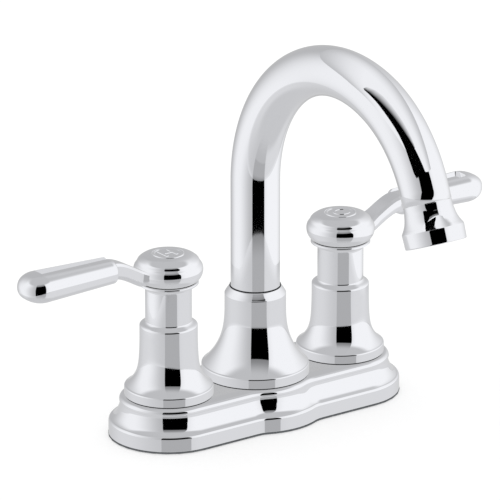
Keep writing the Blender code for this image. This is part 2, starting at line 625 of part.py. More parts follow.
def build_lever(label, side, material, pivot):
    """Hub, swept arm and grip are one casting, with a strip sunk into the grip's top."""
    x = side * HANDLE_X
    name = label + "_lever_handle"
    screw_hole = SCREW_RADIUS + THREAD_GAP
    stem_hole = STEM_RADIUS + GAP
    web_low = PLATE_TOP + STEM_TOP + GAP
    web_top = web_low + 0.0010
    recess = SCREW_HEAD_RADIUS + THREAD_GAP
    button_floor = HUB_TOP - BUTTON_THICKNESS + BUTTON_PROUD - GAP
    outside = hub_profile()
    bore = [(BUTTON_RADIUS + GAP, HUB_TOP), (BUTTON_RADIUS + GAP, button_floor),
            (recess, button_floor), (recess, web_top), (screw_hole, web_top),
            (screw_hole, web_low), (stem_hole, web_low), (stem_hole, HUB_BOTTOM - HUB_BOSS_DEPTH),
            (HUB_BOSS_RADIUS, HUB_BOTTOM - HUB_BOSS_DEPTH), (HUB_BOSS_RADIUS, HUB_BOTTOM)]
    solid = [(0, HUB_BOTTOM - HUB_BOSS_DEPTH), (HUB_BOSS_RADIUS, HUB_BOTTOM - HUB_BOSS_DEPTH),
             (HUB_BOSS_RADIUS, HUB_BOTTOM)] + outside + [(0, HUB_TOP)]
    lever = add_object(name, turned_mesh(name, solid, ROUND, (x, 0, 0)), material, pivot, 40)
    steps = 7
    arm = [arm_section(ARM_START + (ARM_END - ARM_START) * i / steps, x, side)
           for i in range(steps + 1)]
    boolean(lever, lofted_mesh(label + "_arm", arm), 'UNION')
    places = [GRIP_START + GRIP_INNER_DOME * t for t in (0, 0.2, 0.45, 0.72, 1)]
    places.append((GRIP_START + GRIP_END) / 2)
    places += [GRIP_END - GRIP_OUTER_DOME * t for t in (1, 0.68, 0.42, 0.2, 0.06, 0)]
    grip = [grip_section(distance, x, side) for distance in places]
    boolean(lever, lofted_mesh(label + "_grip", grip), 'UNION')
    channel = []
    half = ARM_TOP_HALF_WIDTH
    for distance, width in ((GRIP_START - 0.004, half), (ARM_LEVEL_FROM, half),
                            (CHANNEL_END - 0.003, half), (CHANNEL_END - 0.001, half * 0.85),
                            (CHANNEL_END, half * 0.45)):
        low = arm_top(distance) + 0.0003
        high = PLATE_TOP + ARM_HIGH_TOP + 0.010
        place = x + side * distance
        channel.append([(place, -width, low), (place, width, low),
                        (place, width, high), (place, -width, high)])
    boolean(lever, lofted_mesh(label + "_channel", channel))
    cut = [(0, HUB_TOP + 0.001), (BUTTON_RADIUS + GAP, HUB_TOP + 0.001)] + bore[1:8]
    cut[-1] = (stem_hole, HUB_BOTTOM - HUB_BOSS_DEPTH - 0.001)
    cut.append((0, HUB_BOTTOM - HUB_BOSS_DEPTH - 0.001))
    boolean(lever, turned_mesh(label + "_hub_bore", cut, SMALL_ROUND, (x, 0, 0)))


def build_handle_fittings(label, side, metals, pivot):
    x = side * HANDLE_X
    guide_inner = HUB_BOSS_RADIUS + GAP
    guide_outer = SLEEVE_BORE - GAP
    sleeve(label + "_guide_ring", guide_inner, guide_outer, BONNET_TOP - GUIDE_HEIGHT, BONNET_TOP,
           metals["acetal"], (x, 0))
    web_top = PLATE_TOP + STEM_TOP + GAP + 0.0010
    head_low = web_top + GAP
    stem_top = PLATE_TOP + STEM_TOP
    profile = [(0, stem_top - SCREW_LENGTH), (SCREW_RADIUS, stem_top - SCREW_LENGTH),
               (SCREW_RADIUS, head_low), (SCREW_HEAD_RADIUS, head_low),
               (SCREW_HEAD_RADIUS, head_low + SCREW_HEAD_HEIGHT * 0.6),
               (SCREW_HEAD_RADIUS * 0.7, head_low + SCREW_HEAD_HEIGHT),
               (0, head_low + SCREW_HEAD_HEIGHT)]
    add_object(label + "_handle_screw",
               turned_mesh(label + "_handle_screw", profile, 16, (x, 0, 0)), metals["steel"], pivot)
    top = HUB_TOP + BUTTON_PROUD
    low = top - BUTTON_THICKNESS
    profile = [(0, low), (BUTTON_RADIUS, low), (BUTTON_RADIUS, top - 0.0004),
               (BUTTON_RADIUS - 0.0005, top), (0, top)]
    add_object(label + "_index_button",
               turned_mesh(label + "_index_button", profile, 24, (x, 0, 0)), metals["chrome"], pivot)


def build_shank(label, side, metals):
    x = side * HANDLE_X
    top = PLATE_BOTTOM + SHANK_ENGAGEMENT
    sleeve(label + "_shank", SHANK_BORE, SHANK_RADIUS, -SHANK_LENGTH, top, metals["brass"], (x, 0))
    bore = SHANK_RADIUS + THREAD_GAP
    washer_top = -DECK_THICKNESS
    washer_low = washer_top - MOUNTING_WASHER_THICKNESS
    sleeve(label + "_mounting_washer", bore, MOUNTING_WASHER_RADIUS, washer_low, washer_top,
           metals["rubber"], (x, 0))
    nut_top = washer_low - GAP
    nut_low = nut_top - MOUNTING_NUT_HEIGHT
    name = label + "_mounting_nut"
    mesh = cylinder_mesh(name, MOUNTING_NUT_RADIUS, nut_low, nut_top, SMALL_ROUND, (x, 0))
    nut = add_object(name, mesh, metals["nylon"])
    for turn in (math.radians(45), math.radians(-45)):
        wings = bmesh.new()
        size = (WING_REACH * 2, WING_THICKNESS, MOUNTING_NUT_HEIGHT * 0.8, 1)
        middle = (nut_low + MOUNTING_NUT_HEIGHT * 0.42)
        bmesh.ops.create_cube(wings, size=1, matrix=Matrix.Translation((x, 0, middle))
                              @ Matrix.Rotation(turn, 4, 'Z') @ Matrix.Diagonal(size))
        boolean(nut, finish_mesh(wings, name + "_wings"), 'UNION')
    boolean(nut, cylinder_mesh(name + "_bore", bore, nut_low - 0.001, nut_top + 0.001,
                               SMALL_ROUND, (x, 0)))


def build_spout_base(material):
    ring_top = PLATE_TOP + BASE_RING_HEIGHT
    outer = ring_and_flare(BASE_RING_RADIUS, BASE_NECK_RADIUS, ring_top, BASE_FLARE_HEIGHT,
                           BASE_FLARE_POWER, 7)
    top = PLATE_TOP + BASE_HEIGHT
    shoulder = PLATE_TOP + BASE_SHOULDER_HEIGHT
    bore = TUBE_RADIUS + GAP
    outer += arc((bore + 0.0006, shoulder), (BASE_NECK_RADIUS - bore - 0.0006, top - shoulder),
                 0, 90, 3)
    inner = [(bore, top), (bore, shoulder - 0.004), (BASE_NECK_RADIUS - BASE_WALL, shoulder - 0.006)]
    inner += list(reversed(flare(BASE_RING_RADIUS - BASE_WALL, BASE_NECK_RADIUS - BASE_WALL,
                                 ring_top - BASE_WALL * 0.5, BASE_FLARE_HEIGHT,
                                 BASE_FLARE_POWER, 3)))
    inner.append((BASE_RING_RADIUS - BASE_WALL, SEAM))
    add_object("spout_base", turned_mesh("spout_base", outer + inner, ROUND), material,
               sharp_angle=40)


def build_swivel(metals, pivot):
    """The post that the spout turns on, and what seals and holds the tube on it."""
    top = POST_SHOULDER + POST_HEIGHT
    ring_heights = (top - 2 * POST_RING_SPACING, top - POST_RING_SPACING)
    half_groove = SPOUT_RING_SECTION + GAP
    groove = TUBE_BORE - GAP - 2 * SPOUT_RING_SECTION
    thread_low = PLATE_BOTTOM + BOSS_HEIGHT
    profile = [(POST_BORE, thread_low), (POST_THREAD_RADIUS, thread_low),
               (POST_THREAD_RADIUS, POST_COLLAR_Z), (POST_COLLAR_RADIUS, POST_COLLAR_Z),
               (POST_COLLAR_RADIUS, POST_SHOULDER), (POST_RADIUS, POST_SHOULDER)]
    for height in ring_heights:
        profile += [(POST_RADIUS, height - half_groove), (groove - GAP, height - half_groove),
                    (groove - GAP, height + half_groove), (POST_RADIUS, height + half_groove)]
    profile += [(POST_RADIUS, top), (POST_BORE, top)]
    add_object("spout_post", turned_mesh("spout_post", profile, SMALL_ROUND), metals["brass"])
    for label, height in zip(("lower", "upper"), ring_heights):
        o_ring("spout_o_ring_" + label, groove + SPOUT_RING_SECTION, SPOUT_RING_SECTION, height,
               metals["rubber"])
    washer_low = POST_SHOULDER + GAP
    sleeve("spout_glide_washer", POST_RADIUS + GAP, POST_COLLAR_RADIUS, washer_low,
           washer_low + GLIDE_WASHER_THICKNESS, metals["acetal"])
    sleeve("spout_bushing", POST_RADIUS + GAP, TUBE_BORE - GAP, TUBE_BOTTOM + 0.003,
           TUBE_BOTTOM + 0.003 + BUSHING_HEIGHT, metals["acetal"], parent=pivot)
    cavity = POST_COLLAR_RADIUS + GAP
    outer = cavity + RETAINING_NUT_WALL
    lip_low = TUBE_BOTTOM + TUBE_FLANGE_HEIGHT + GAP
    low = POST_COLLAR_Z
    profile = [(cavity, low), (outer, low), (outer, lip_low + RETAINING_NUT_LIP),
               (TUBE_RADIUS + GAP, lip_low + RETAINING_NUT_LIP), (TUBE_RADIUS + GAP, lip_low),
               (cavity, lip_low)]
    add_object("spout_retaining_nut", turned_mesh("spout_retaining_nut", profile, 24),
               metals["brass"])


def spout_frame(turn):
    """Direction along the tube after turning through an angle in the plane x = 0."""
    return Vector((0, -math.sin(turn), math.cos(turn)))


def spout_path():
    """Centre points and turn angles from the foot of the tube to the outlet seam."""
    first = math.radians(ARCH_TURN)
    total = math.radians(ARCH_TOTAL_TURN)
    path = [(Vector((0, 0, TUBE_BOTTOM)), 0.0), (Vector((0, 0, ARCH_START)), 0.0)]
    first_steps, second_steps = 14, 5
    centre = Vector((0, -ARCH_RADIUS, ARCH_START))
    for i in range(1, first_steps + 1):
        turn = first * i / first_steps
        out = Vector((0, math.cos(turn), math.sin(turn)))
        path.append((centre + out * ARCH_RADIUS, turn))
    out = Vector((0, math.cos(first), math.sin(first)))
    centre = centre + out * (ARCH_RADIUS - ARCH_END_RADIUS)
    for i in range(1, second_steps + 1):
        turn = first + (total - first) * i / second_steps
        out = Vector((0, math.cos(turn), math.sin(turn)))
        path.append((centre + out * ARCH_END_RADIUS, turn))
    end = path[-1][0] + spout_frame(total) * TIP_STRAIGHT
    path.append((end, total))
    return path


def tube_ring(point, turn, radius):
    across = Vector((1, 0, 0))
    up = spout_frame(turn).cross(across)
    ring = []
    for i in range(TUBE_SIDES):
        angle = math.tau * i / TUBE_SIDES
        ring.append(point + across * radius * math.cos(angle) + up * radius * math.sin(angle))
    return ring


def build_spout_tube(material, pivot):
    path = spout_path()
    flange = TUBE_RADIUS + TUBE_FLANGE_PROUD
    foot = path[0][0]
    above = foot + Vector((0, 0, TUBE_FLANGE_HEIGHT))
    outside = [tube_ring(foot, 0, flange), tube_ring(above, 0, flange),
               tube_ring(above, 0, TUBE_RADIUS)]
    outside += [tube_ring(point, turn, TUBE_RADIUS) for point, turn in path[1:]]
    inside = [tube_ring(point, turn, TUBE_BORE) for point, turn in reversed(path)]
    mesh = lofted_mesh("spout_tube", outside + inside, capped=False, looped=True)
    add_object("spout_tube", mesh, material, pivot, sharp_angle=45)


def tip_profile():
    """Outside of the outlet piece, from its seam out to the band round the aerator."""
    band_top = TIP_LENGTH - TIP_BAND_HEIGHT
    step = TIP_BAND_RADIUS - TUBE_RADIUS
    sweep = []
    for i in range(6):
        t = i / 5
        sweep.append((TUBE_RADIUS + (step - 0.0004) * t ** 2.4, GAP + (band_top - GAP) * t))
    return sweep + [(TIP_BAND_RADIUS, band_top + 0.0007),
                    (TIP_BAND_RADIUS - 0.0001, TIP_LENGTH - 0.0005),
                    (TIP_BAND_RADIUS - 0.0006, TIP_LENGTH)]


def build_outlet(metals, pivot):
    end, turn = spout_path()[-1]
    place = Matrix.Translation(end) @ Matrix.Rotation(turn, 4, 'X')
    outside = tip_profile()
    cavity = AERATOR_RADIUS + GAP
    cavity_depth = AERATOR_INSET + AERATOR_HEIGHT + AERATOR_WASHER_THICKNESS + 2 * GAP
    bore = TUBE_BORE - GAP - TIP_WALL
    inside = [(cavity, TIP_LENGTH), (cavity, TIP_LENGTH - cavity_depth),
              (bore, TIP_LENGTH - cavity_depth), (bore, -TIP_SPIGOT),
              (TUBE_BORE - GAP, -TIP_SPIGOT), (TUBE_BORE - GAP, GAP)]
    pieces = [("spout_tip", outside + inside, metals["chrome"], ROUND)]
    low = TIP_LENGTH - cavity_depth + GAP
    washer = [(AERATOR_RADIUS - 0.003, low), (AERATOR_RADIUS, low),
              (AERATOR_RADIUS, low + AERATOR_WASHER_THICKNESS),
              (AERATOR_RADIUS - 0.003, low + AERATOR_WASHER_THICKNESS)]
    pieces.append(("aerator_washer", washer, metals["rubber"], SMALL_ROUND))
    low += AERATOR_WASHER_THICKNESS + GAP
    rim = low + AERATOR_HEIGHT
    wall = 0.0014
    housing = [(AERATOR_RADIUS - 0.004, low), (AERATOR_RADIUS, low), (AERATOR_RADIUS, rim),
               (AERATOR_RADIUS - wall, rim), (AERATOR_RADIUS - wall, low + 0.002),
               (AERATOR_RADIUS - 0.004, low + 0.002)]
    pieces.append(("aerator_housing", housing, metals["acetal"], SMALL_ROUND))
    for name, profile, material, sides in pieces:
        mesh = turned_mesh(name, profile, sides)
        mesh.transform(place)
        add_object(name, mesh, material, pivot)
    screen_low = rim - 0.0028
    screen = cylinder_mesh("aerator_screen", AERATOR_RADIUS - wall - GAP, screen_low,
                           screen_low + 0.0020, SMALL_ROUND)
    screen.transform(place)
    insert = add_object("aerator_screen", screen, metals["acetal"], pivot)
    half = AERATOR_RADIUS * 0.62
    for i in range(5):
        offset = (i - 2) * AERATOR_RADIUS * 0.26
        slot = bmesh.new()
        reach = math.sqrt(half * half - (offset * 0.8) ** 2)
        size = (reach * 2, AERATOR_RADIUS * 0.12, 0.006, 1)
        bmesh.ops.create_cube(slot, size=1, matrix=place @ Matrix.Translation(
            (0, offset, screen_low + 0.001)) @ Matrix.Diagonal(size))
        boolean(insert, finish_mesh(slot, "aerator_slot"))


def main():
    for old in list(bpy.data.objects):
        bpy.data.objects.remove(old, do_unlink=True)
    metals = {
        "chrome": make_material("polished_chrome", (0.80, 0.80, 0.82), 1.0, 0.05),
        "brass": make_material("cast_brass", (0.72, 0.55, 0.28), 1.0, 0.35),
        "steel": make_material("stainless_steel", (0.60, 0.60, 0.61), 1.0, 0.30),
        "rubber": make_material("black_rubber", (0.03, 0.03, 0.03), 0.0, 0.70),
        "gasket": make_material("grey_gasket", (0.32, 0.33, 0.34), 0.0, 0.60),
        "acetal": make_material("white_acetal", (0.85, 0.85, 0.83), 0.0, 0.40),
        "ceramic": make_material("white_ceramic", (0.90, 0.89, 0.86), 0.0, 0.20),
        "nylon": make_material("grey_nylon", (0.25, 0.26, 0.28), 0.0, 0.50),
    }
    build_gasket(metals["gasket"])
    build_plate(metals["chrome"])
    build_waterway(metals["brass"])
    locknut_low = PLATE_TOP + GAP
    for label, x in (("hot", -HANDLE_X), ("spout", 0), ("cold", HANDLE_X)):
        hexagon_nut(label + "_locknut", LOCKNUT_FLATS, BARREL_RADIUS + THREAD_GAP, locknut_low,
                    locknut_low + LOCKNUT_THICKNESS, metals["brass"], (x, 0))
    for label, side in SIDES:
        pivot = empty_at(label + "_handle_pivot", (side * HANDLE_X, 0, HUB_BOTTOM))
        build_bonnet(label + "_bonnet", side * HANDLE_X, metals["chrome"])
        build_valve(label, side, metals, pivot)
        build_lever(label, side, metals["chrome"], pivot)
        build_handle_fittings(label, side, metals, pivot)
        build_shank(label, side, metals)
    pivot = empty_at("spout_pivot", (0, 0, PLATE_TOP + BASE_HEIGHT))
    build_spout_base(metals["chrome"])
    build_swivel(metals, pivot)
    build_spout_tube(metals["chrome"], pivot)
    build_outlet(metals, pivot)


main()
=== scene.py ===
# %% [markdown]
# This lesson dresses a two-handle centerset bathroom faucet. The fixed frame comes from the
# CAD model, so every piece is drawn in metres, where the CAD says it goes: +Z is up out of
# the deck, the hot handle is on -X, the cold handle on +X, and the spout reaches along -Y.

# %% Load the frame
import math

import bpy
from mathutils import Matrix, Vector


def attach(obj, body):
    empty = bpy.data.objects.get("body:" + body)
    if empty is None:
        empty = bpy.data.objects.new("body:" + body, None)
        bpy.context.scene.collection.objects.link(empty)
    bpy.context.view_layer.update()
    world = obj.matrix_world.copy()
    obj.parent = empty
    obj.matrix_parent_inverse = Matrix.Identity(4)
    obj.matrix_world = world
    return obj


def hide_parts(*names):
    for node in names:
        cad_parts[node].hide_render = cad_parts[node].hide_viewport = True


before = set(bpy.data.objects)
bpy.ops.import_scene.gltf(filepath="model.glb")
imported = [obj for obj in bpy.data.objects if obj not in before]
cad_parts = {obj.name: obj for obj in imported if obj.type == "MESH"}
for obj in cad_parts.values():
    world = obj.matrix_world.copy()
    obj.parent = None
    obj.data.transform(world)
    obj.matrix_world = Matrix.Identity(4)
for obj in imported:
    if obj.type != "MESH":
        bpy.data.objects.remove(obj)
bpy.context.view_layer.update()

MM = 0.001

# %% [markdown]
# Chrome is bright because it mirrors what stands round it, so most of this scene is about
# two things: smooth curves, and what those curves have to reflect. First come small helpers.
# Colours are written as sRGB hex values, as in any paint program, and Blender works in
# linear light, so one function turns them over.

# %% Colours and nodes
def linear(hex_colour, alpha=1.0):
    """Turn an sRGB hex colour such as "#C0C0C0" into Blender's linear RGBA."""
    channels = []
    for i in (1, 3, 5):
        c = int(hex_colour[i:i + 2], 16) / 255
        channels.append(c / 12.92 if c <= 0.04045 else ((c + 0.055) / 1.055) ** 2.4)
    return (*channels, alpha)


def add_node(tree, kind, settings=None, links=None):
    """Add a node, set its properties and sockets by name, and link its inputs."""
    node = tree.nodes.new(kind)
    for key, value in (settings or {}).items():
        if key in node.inputs:
            node.inputs[key].default_value = value
        else:
            setattr(node, key, value)
    for key, socket in (links or {}).items():
        tree.links.new(socket, node.inputs[key])
    return node


def new_material(name):
    """A material with its Principled shader, ready for more nodes."""
    material = bpy.data.materials.new(name)
    material.use_nodes = True
    return material, material.node_tree, material.node_tree.nodes["Principled BSDF"]


# %% [markdown]
# The visible parts are brass and zinc castings under polished chromium plate. Chromium is a
# slightly blue, very smooth mirror. Buffing leaves a faint haze that comes and goes over
# about ten millimetres, so roughness wanders a little between two low values.

# %% Polished chrome
def polished_chrome():
    material, tree, shader = new_material("chromium_plate_polished")
    shader.inputs["Base Color"].default_value = linear("#EBECF0")
    shader.inputs["Metallic"].default_value = 1.0
    place = add_node(tree, "ShaderNodeTexCoord")
    haze = add_node(tree, "ShaderNodeTexNoise", {"Scale": 1 / (10 * MM), "Detail": 3.0},
                    {"Vector": place.outputs["Object"]})
    spread = add_node(tree, "ShaderNodeMapRange", {"To Min": 0.02, "To Max": 0.05},
                      {"Value": haze.outputs["Fac"]})
    tree.links.new(spread.outputs["Result"], shader.inputs["Roughness"])
    return material


CHROME = polished_chrome()
print("material", CHROME.name)

# %% [markdown]
# Plating and buffing reach only the outside, and inside a bonnet or the base the casting is
# unplated. No piece mirrors another, so the shade in a seam is painted: the inner faces, and
# the faces down in each seam, get a dull dark material that paints the thin dark line a seam
# shows. So each turned shell has two materials, and its inner faces get the painted seam shade.

# %% Unplated casting, painted seam shade
def unplated_casting_painted_seam_shade():
    material, tree, shader = new_material("zinc_casting_unplated_painted_seam_shade")
    # Dark and dull, so that it paints the shade in the seams.
    shader.inputs["Metallic"].default_value = 0.6
    shader.inputs["Roughness"].default_value = 0.75
    place = add_node(tree, "ShaderNodeTexCoord")
    grain = add_node(tree, "ShaderNodeTexNoise", {"Scale": 1 / (0.8 * MM), "Detail": 4.0},
                     {"Vector": place.outputs["Object"]})
    tone = add_node(tree, "ShaderNodeValToRGB", links={"Fac": grain.outputs["Fac"]})
    tone.color_ramp.elements[0].color = linear("#26272A")
    tone.color_ramp.elements[1].color = linear("#3A3B3E")
    tree.links.new(tone.outputs["Color"], shader.inputs["Base Color"])
    return material


SEAM_SHADE = unplated_casting_painted_seam_shade()
print("material", SEAM_SHADE.name)

# %% [markdown]
# Most of the faucet is turned: its bonnets, spout base, hubs and outlet were shaped or
# finished on a lathe. By hand, such a piece is drawn as one profile, vertex by vertex, and
# then spun round its axis. The tracing is its own helper, because the deck plate's outline
# is traced the same way.

# %% Trace and spin
def trace(name, points):
    """Draw a line of vertices by extruding one vertex from point to point."""
    bpy.ops.object.select_all(action='DESELECT')
    bpy.ops.mesh.primitive_plane_add(size=MM, location=points[0])
    drawn = bpy.context.object
    drawn.name = name
    bpy.ops.object.transform_apply(location=True, rotation=True, scale=True)
    bpy.ops.object.mode_set(mode='EDIT')
    bpy.ops.mesh.select_mode(type='VERT')
    bpy.ops.mesh.select_all(action='SELECT')
    bpy.ops.mesh.merge(type='CENTER')
    for here, there in zip(points, points[1:]):
        step = [b - a for a, b in zip(here, there)]
        bpy.ops.mesh.extrude_region_move(TRANSFORM_OT_translate={"value": step})
    return drawn


def finish_mesh(piece, crisp=30):
    """Close the seams, point the faces outwards, and shade the curves smooth."""
    bpy.ops.object.mode_set(mode='EDIT')
    bpy.ops.mesh.select_all(action='SELECT')
    bpy.ops.mesh.remove_doubles(threshold=0.002 * MM)
    bpy.ops.mesh.normals_make_consistent(inside=False)
    bpy.ops.object.mode_set(mode='OBJECT')
    bpy.ops.object.select_all(action='DESELECT')
    piece.select_set(True)
    bpy.context.view_layer.objects.active = piece
    bpy.ops.object.shade_smooth_by_angle(angle=math.radians(crisp))
    return piece


def rounded(points, per_span=5, hold=0.13):
    """Run a smooth curve through (radius, height) points. None starts a new span, so the
    corner before it stays crisp. A straight span gets a point close to each of its ends,
    which keeps the shading of the curve next to it from spreading over the flat."""
    spans, span = [], []
    for point in points:
        if point is None:
            spans.append(span)
            span = [span[-1]]
        else:
            span.append(point)
    spans.append(span)
    curve = [points[0]]
    for span in spans:
        if len(span) == 2:
            start, end = Vector(span[0]), Vector(span[1])
            length = (end - start).length
            if length > 4 * hold:
                curve.append(tuple(start.lerp(end, hold / length)))
                curve.append(tuple(start.lerp(end, 1 - hold / length)))
            curve.append(tuple(end))
            continue
        padded = [span[0]] + span + [span[-1]]
        for i in range(1, len(padded) - 2):
            p0, p1, p2, p3 = (Vector(p) for p in padded[i - 1:i + 3])
            for k in range(1, per_span + 1):
                t = k / per_span
                a = -0.5 * p0 + 1.5 * p1 - 1.5 * p2 + 0.5 * p3
                b = p0 - 2.5 * p1 + 2 * p2 - 0.5 * p3
                c = -0.5 * p0 + 0.5 * p2
                curve.append(tuple(((a * t + b) * t + c) * t + p1))
    return curve


def spin(name, profile, x=0.0, turns=96, crisp=30):
    """Trace a closed (radius, height) profile in millimetres and spin it round x."""
    points = [(x + r * MM, 0, z * MM) for r, z in profile + [profile[0]]]
    piece = trace(name, points)
    bpy.ops.mesh.select_all(action='SELECT')
    bpy.ops.mesh.spin(steps=turns, angle=math.tau, center=(x, 0, 0), axis=(0, 0, 1))
    finish_mesh(piece, crisp)
    print(name, len(piece.data.polygons), "faces")
    return piece


def dress(piece, body, material, slot, *nodes):
    """Give a finished piece its material, its body and the CAD nodes that it stands for.

    The photograph's chrome is retouched so that its parts don't mirror one another, so no
    piece is seen in the others."""
    piece.data.materials.clear()
    piece.data.materials.append(material)
    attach(piece, body)
    if nodes:
        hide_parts(*nodes)
    piece.visible_glossy = False
    return piece


def paint_seam_shade(piece, x, hidden):
    """Paint seam shade: give the dark unplated finish to faces for which hidden(radius, height,
    inward) is true.
    """
    piece.data.materials.append(SEAM_SHADE)
    for face in piece.data.polygons:
        out = Vector((face.center.x / MM - x, face.center.y / MM, 0))
        inward = face.normal.dot(out.normalized()) < -0.2
        if hidden(out.length, face.center.z / MM, inward):
            face.material_index = 1
    return piece


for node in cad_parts.values():
    node.visible_glossy = False

# %% [markdown]
# The bonnets are the two pedestals that cover the valves. A bonnet stands on an upright
# ring, sweeps in like a trumpet to a plain neck, steps down over a small shoulder to a
# thinner sleeve, and opens again to a lip under the handle.

# %% Bonnets
HANDLE_X = 50.8
SIDES = (("hot", -1), ("cold", 1))
PLATE_TOP = 19.7


def trumpet(foot, neck, low, height, power, points=16):
    """The sweep from a ring's radius in to the neck, steep at first and then easing."""
    curve = []
    for i in range(points + 1):
        t = (i / points) ** 1.5
        pull = 0.84 * (1 - t) ** power + 0.16 * (1 - t) ** 1.6
        curve.append((neck + (foot - neck) * pull, low + height * t))
    return curve


def bonnet_profile():
    top = PLATE_TOP
    ring = rounded([(21.3, top + 0.7), (21.3, top + 4.4), None,
                    (21.22, top + 4.8), (21.0, top + 5.08), (20.65, top + 5.2)], 3)
    sweep = trumpet(20.65, 13.85, top + 5.2, 24.7, 5.5)
    neck = rounded([(13.85, top + 30), (13.85, top + 34.9), None,
                    (13.78, top + 35.3), (13.5, top + 35.7), (13.0, top + 36.05),
                    (12.4, top + 36.35), (11.8, top + 36.65), (11.35, top + 37.0),
                    (11.15, top + 37.3), (11.1, top + 37.6), None, (11.1, top + 53.4)])
    lip = rounded([(11.1, top + 53.4), (11.25, top + 54.2), (11.9, top + 55.0),
                   (12.9, top + 55.5), (13.9, top + 55.8), (14.4, top + 56.15), None,
                   (14.4, top + 56.75), None, (14.3, top + 57.05), (14.0, top + 57.2), None,
                   (13.5, top + 57.2), None, (9.3, top + 57.2)])
    inside = [(9.3, top + 35.0), (12.2, top + 33.0), (12.2, top + 17.0), (14.5, top + 10.0),
              (19.4, top + 3.0), (19.4, top + 0.05), (20.95, top + 0.05), (20.95, top + 0.6)]
    return ring + sweep[1:] + neck + lip[1:] + inside


for label, side in SIDES:
    bonnet = spin(label + "_bonnet_turned", bonnet_profile(), side * HANDLE_X * MM)
    dress(bonnet, "faucet_body", CHROME, "polished_chrome", label + "_bonnet")
    # Inner faces, the ring's foot in the seam and the inside of the lip get painted seam shade.
    paint_seam_shade(bonnet, side * HANDLE_X, lambda radius, height, inward: inward
               or height < PLATE_TOP + 0.68 or (radius < 13.5 and height > PLATE_TOP + 57))

# %% [markdown]
# The spout base is a wider bell of the same family. Its neck ends in a rounded shoulder,
# close round the tube.

# %% Spout base
def base_profile():
    top = PLATE_TOP
    ring = rounded([(25.9, top + 0.7), (25.9, top + 4.8), None,
                    (25.82, top + 5.2), (25.6, top + 5.48), (25.25, top + 5.6)], 3)
    sweep = trumpet(25.25, 14.75, top + 5.6, 27.9, 2.95, 20)
    shoulder = rounded([(14.75, top + 36), (14.75, top + 40.65), None,
                        (14.7, top + 40.85), (14.5, top + 41.15), (14.1, top + 41.85),
                        (13.5, top + 42.75), (13.0, top + 43.45), (12.6, top + 44.0),
                        (12.3, top + 44.3)])
    shoulder += [(12.25, top + 44.85), (12.0, top + 44.85)]
    inside = [(12.0, top + 43.5), (12.3, top + 43.3), (12.3, top + 37.8),
              (13.25, top + 35.8), (13.4, top + 30.0), (16.0, top + 16.0),
              (24.4, top + 4.5), (24.4, top + 0.05), (25.55, top + 0.05), (25.55, top + 0.6)]
    return ring + sweep[1:] + shoulder + inside


base = spin("spout_base_turned", base_profile())
dress(base, "faucet_body", CHROME, "polished_chrome", "spout_base")
# Inner faces, the ring's foot in the seam and the inside of the top get painted seam shade.
paint_seam_shade(base, 0, lambda radius, height, inward: inward or height < PLATE_TOP + 0.68
           or (radius < 12.4 and height > PLATE_TOP + 44))

# %% [markdown]
# The deck plate is a thin casting with three lobes in plan. Its side is an ogee, as on
# skirting board: an upright skirt, a small rounded ledge, a hollow cove, and a bead under
# the flat top. Insets could only ever go inwards, and the bead swells out over the cove, so
# the outline is traced once as a loop of edges. The loop is then pulled up and pushed in or
# out along its own normals, level by level, which keeps every level parallel to the first.

# %% Deck plate outline
END_R = 28.9
MIDDLE_R = 33.0
FILLET_R = 14.0


def plate_outline(height):
    """Arcs round the spout and each handle, with a hollow fillet between them."""
    fillet_y = END_R + FILLET_R
    fillet_x = math.sqrt((MIDDLE_R + FILLET_R) ** 2 - fillet_y ** 2)
    meet = math.atan2(-fillet_y, fillet_x)
    quarter = []
    arcs = ((0, 0, MIDDLE_R, -math.pi / 2, meet, 12),
            (fillet_x, -fillet_y, FILLET_R, meet + math.pi, math.pi / 2, 10),
            (HANDLE_X, 0, END_R, -math.pi / 2, 0, 26))
    for cx, cy, radius, start, end, steps in arcs:
        first = 1 if quarter and cx != HANDLE_X else 0
        for i in range(first, steps + 1):
            angle = start + (end - start) * i / steps
            quarter.append((cx + radius * math.cos(angle), cy + radius * math.sin(angle)))
    right = quarter + [(x, -y) for x, y in reversed(quarter[:-1])]
    left = [(-x, -y) for x, y in right[1:-1]]
    return [(x * MM, y * MM, height * MM) for x, y in right + left]


outline = plate_outline(0.9)
length = 2 * max(p[0] for p in outline) / MM
print("plate outline", len(outline), "points,", round(length, 1), "mm long")

# %% [markdown]
# The ogee is a list of levels: how far out from the skirt, and how high. The cove is a
# quarter of a hollow curve, and the bead is a small roll above it. The plate's inside is
# hollow, so the outer skin gets a wall, and a hole is cut under each pedestal.

# %% Deck plate
PLATE_LEVELS = rounded(
    [(0, 0.9), (0, 6.6), None, (-0.1, 7.3), (-0.4, 7.9), (-0.85, 8.3),
     (-1.3, 8.42), None, (-2.15, 9.0), (-3.0, 9.9), (-3.75, 11.1),
     (-4.45, 12.5), (-5.0, 13.8), (-5.35, 15.2), (-5.5, 16.1), (-5.55, 16.8), None,
     (-5.3, 17.05), (-5.18, 17.6), (-5.25, 18.2), (-5.5, 18.8), (-5.95, 19.3),
     (-6.5, 19.6), (-7.2, 19.7)], 4)
PUSH = -1  # the traced loop's normals point inwards, so a push outwards is negative


def widest(piece):
    return max(v.co.x for v in piece.data.vertices) / MM


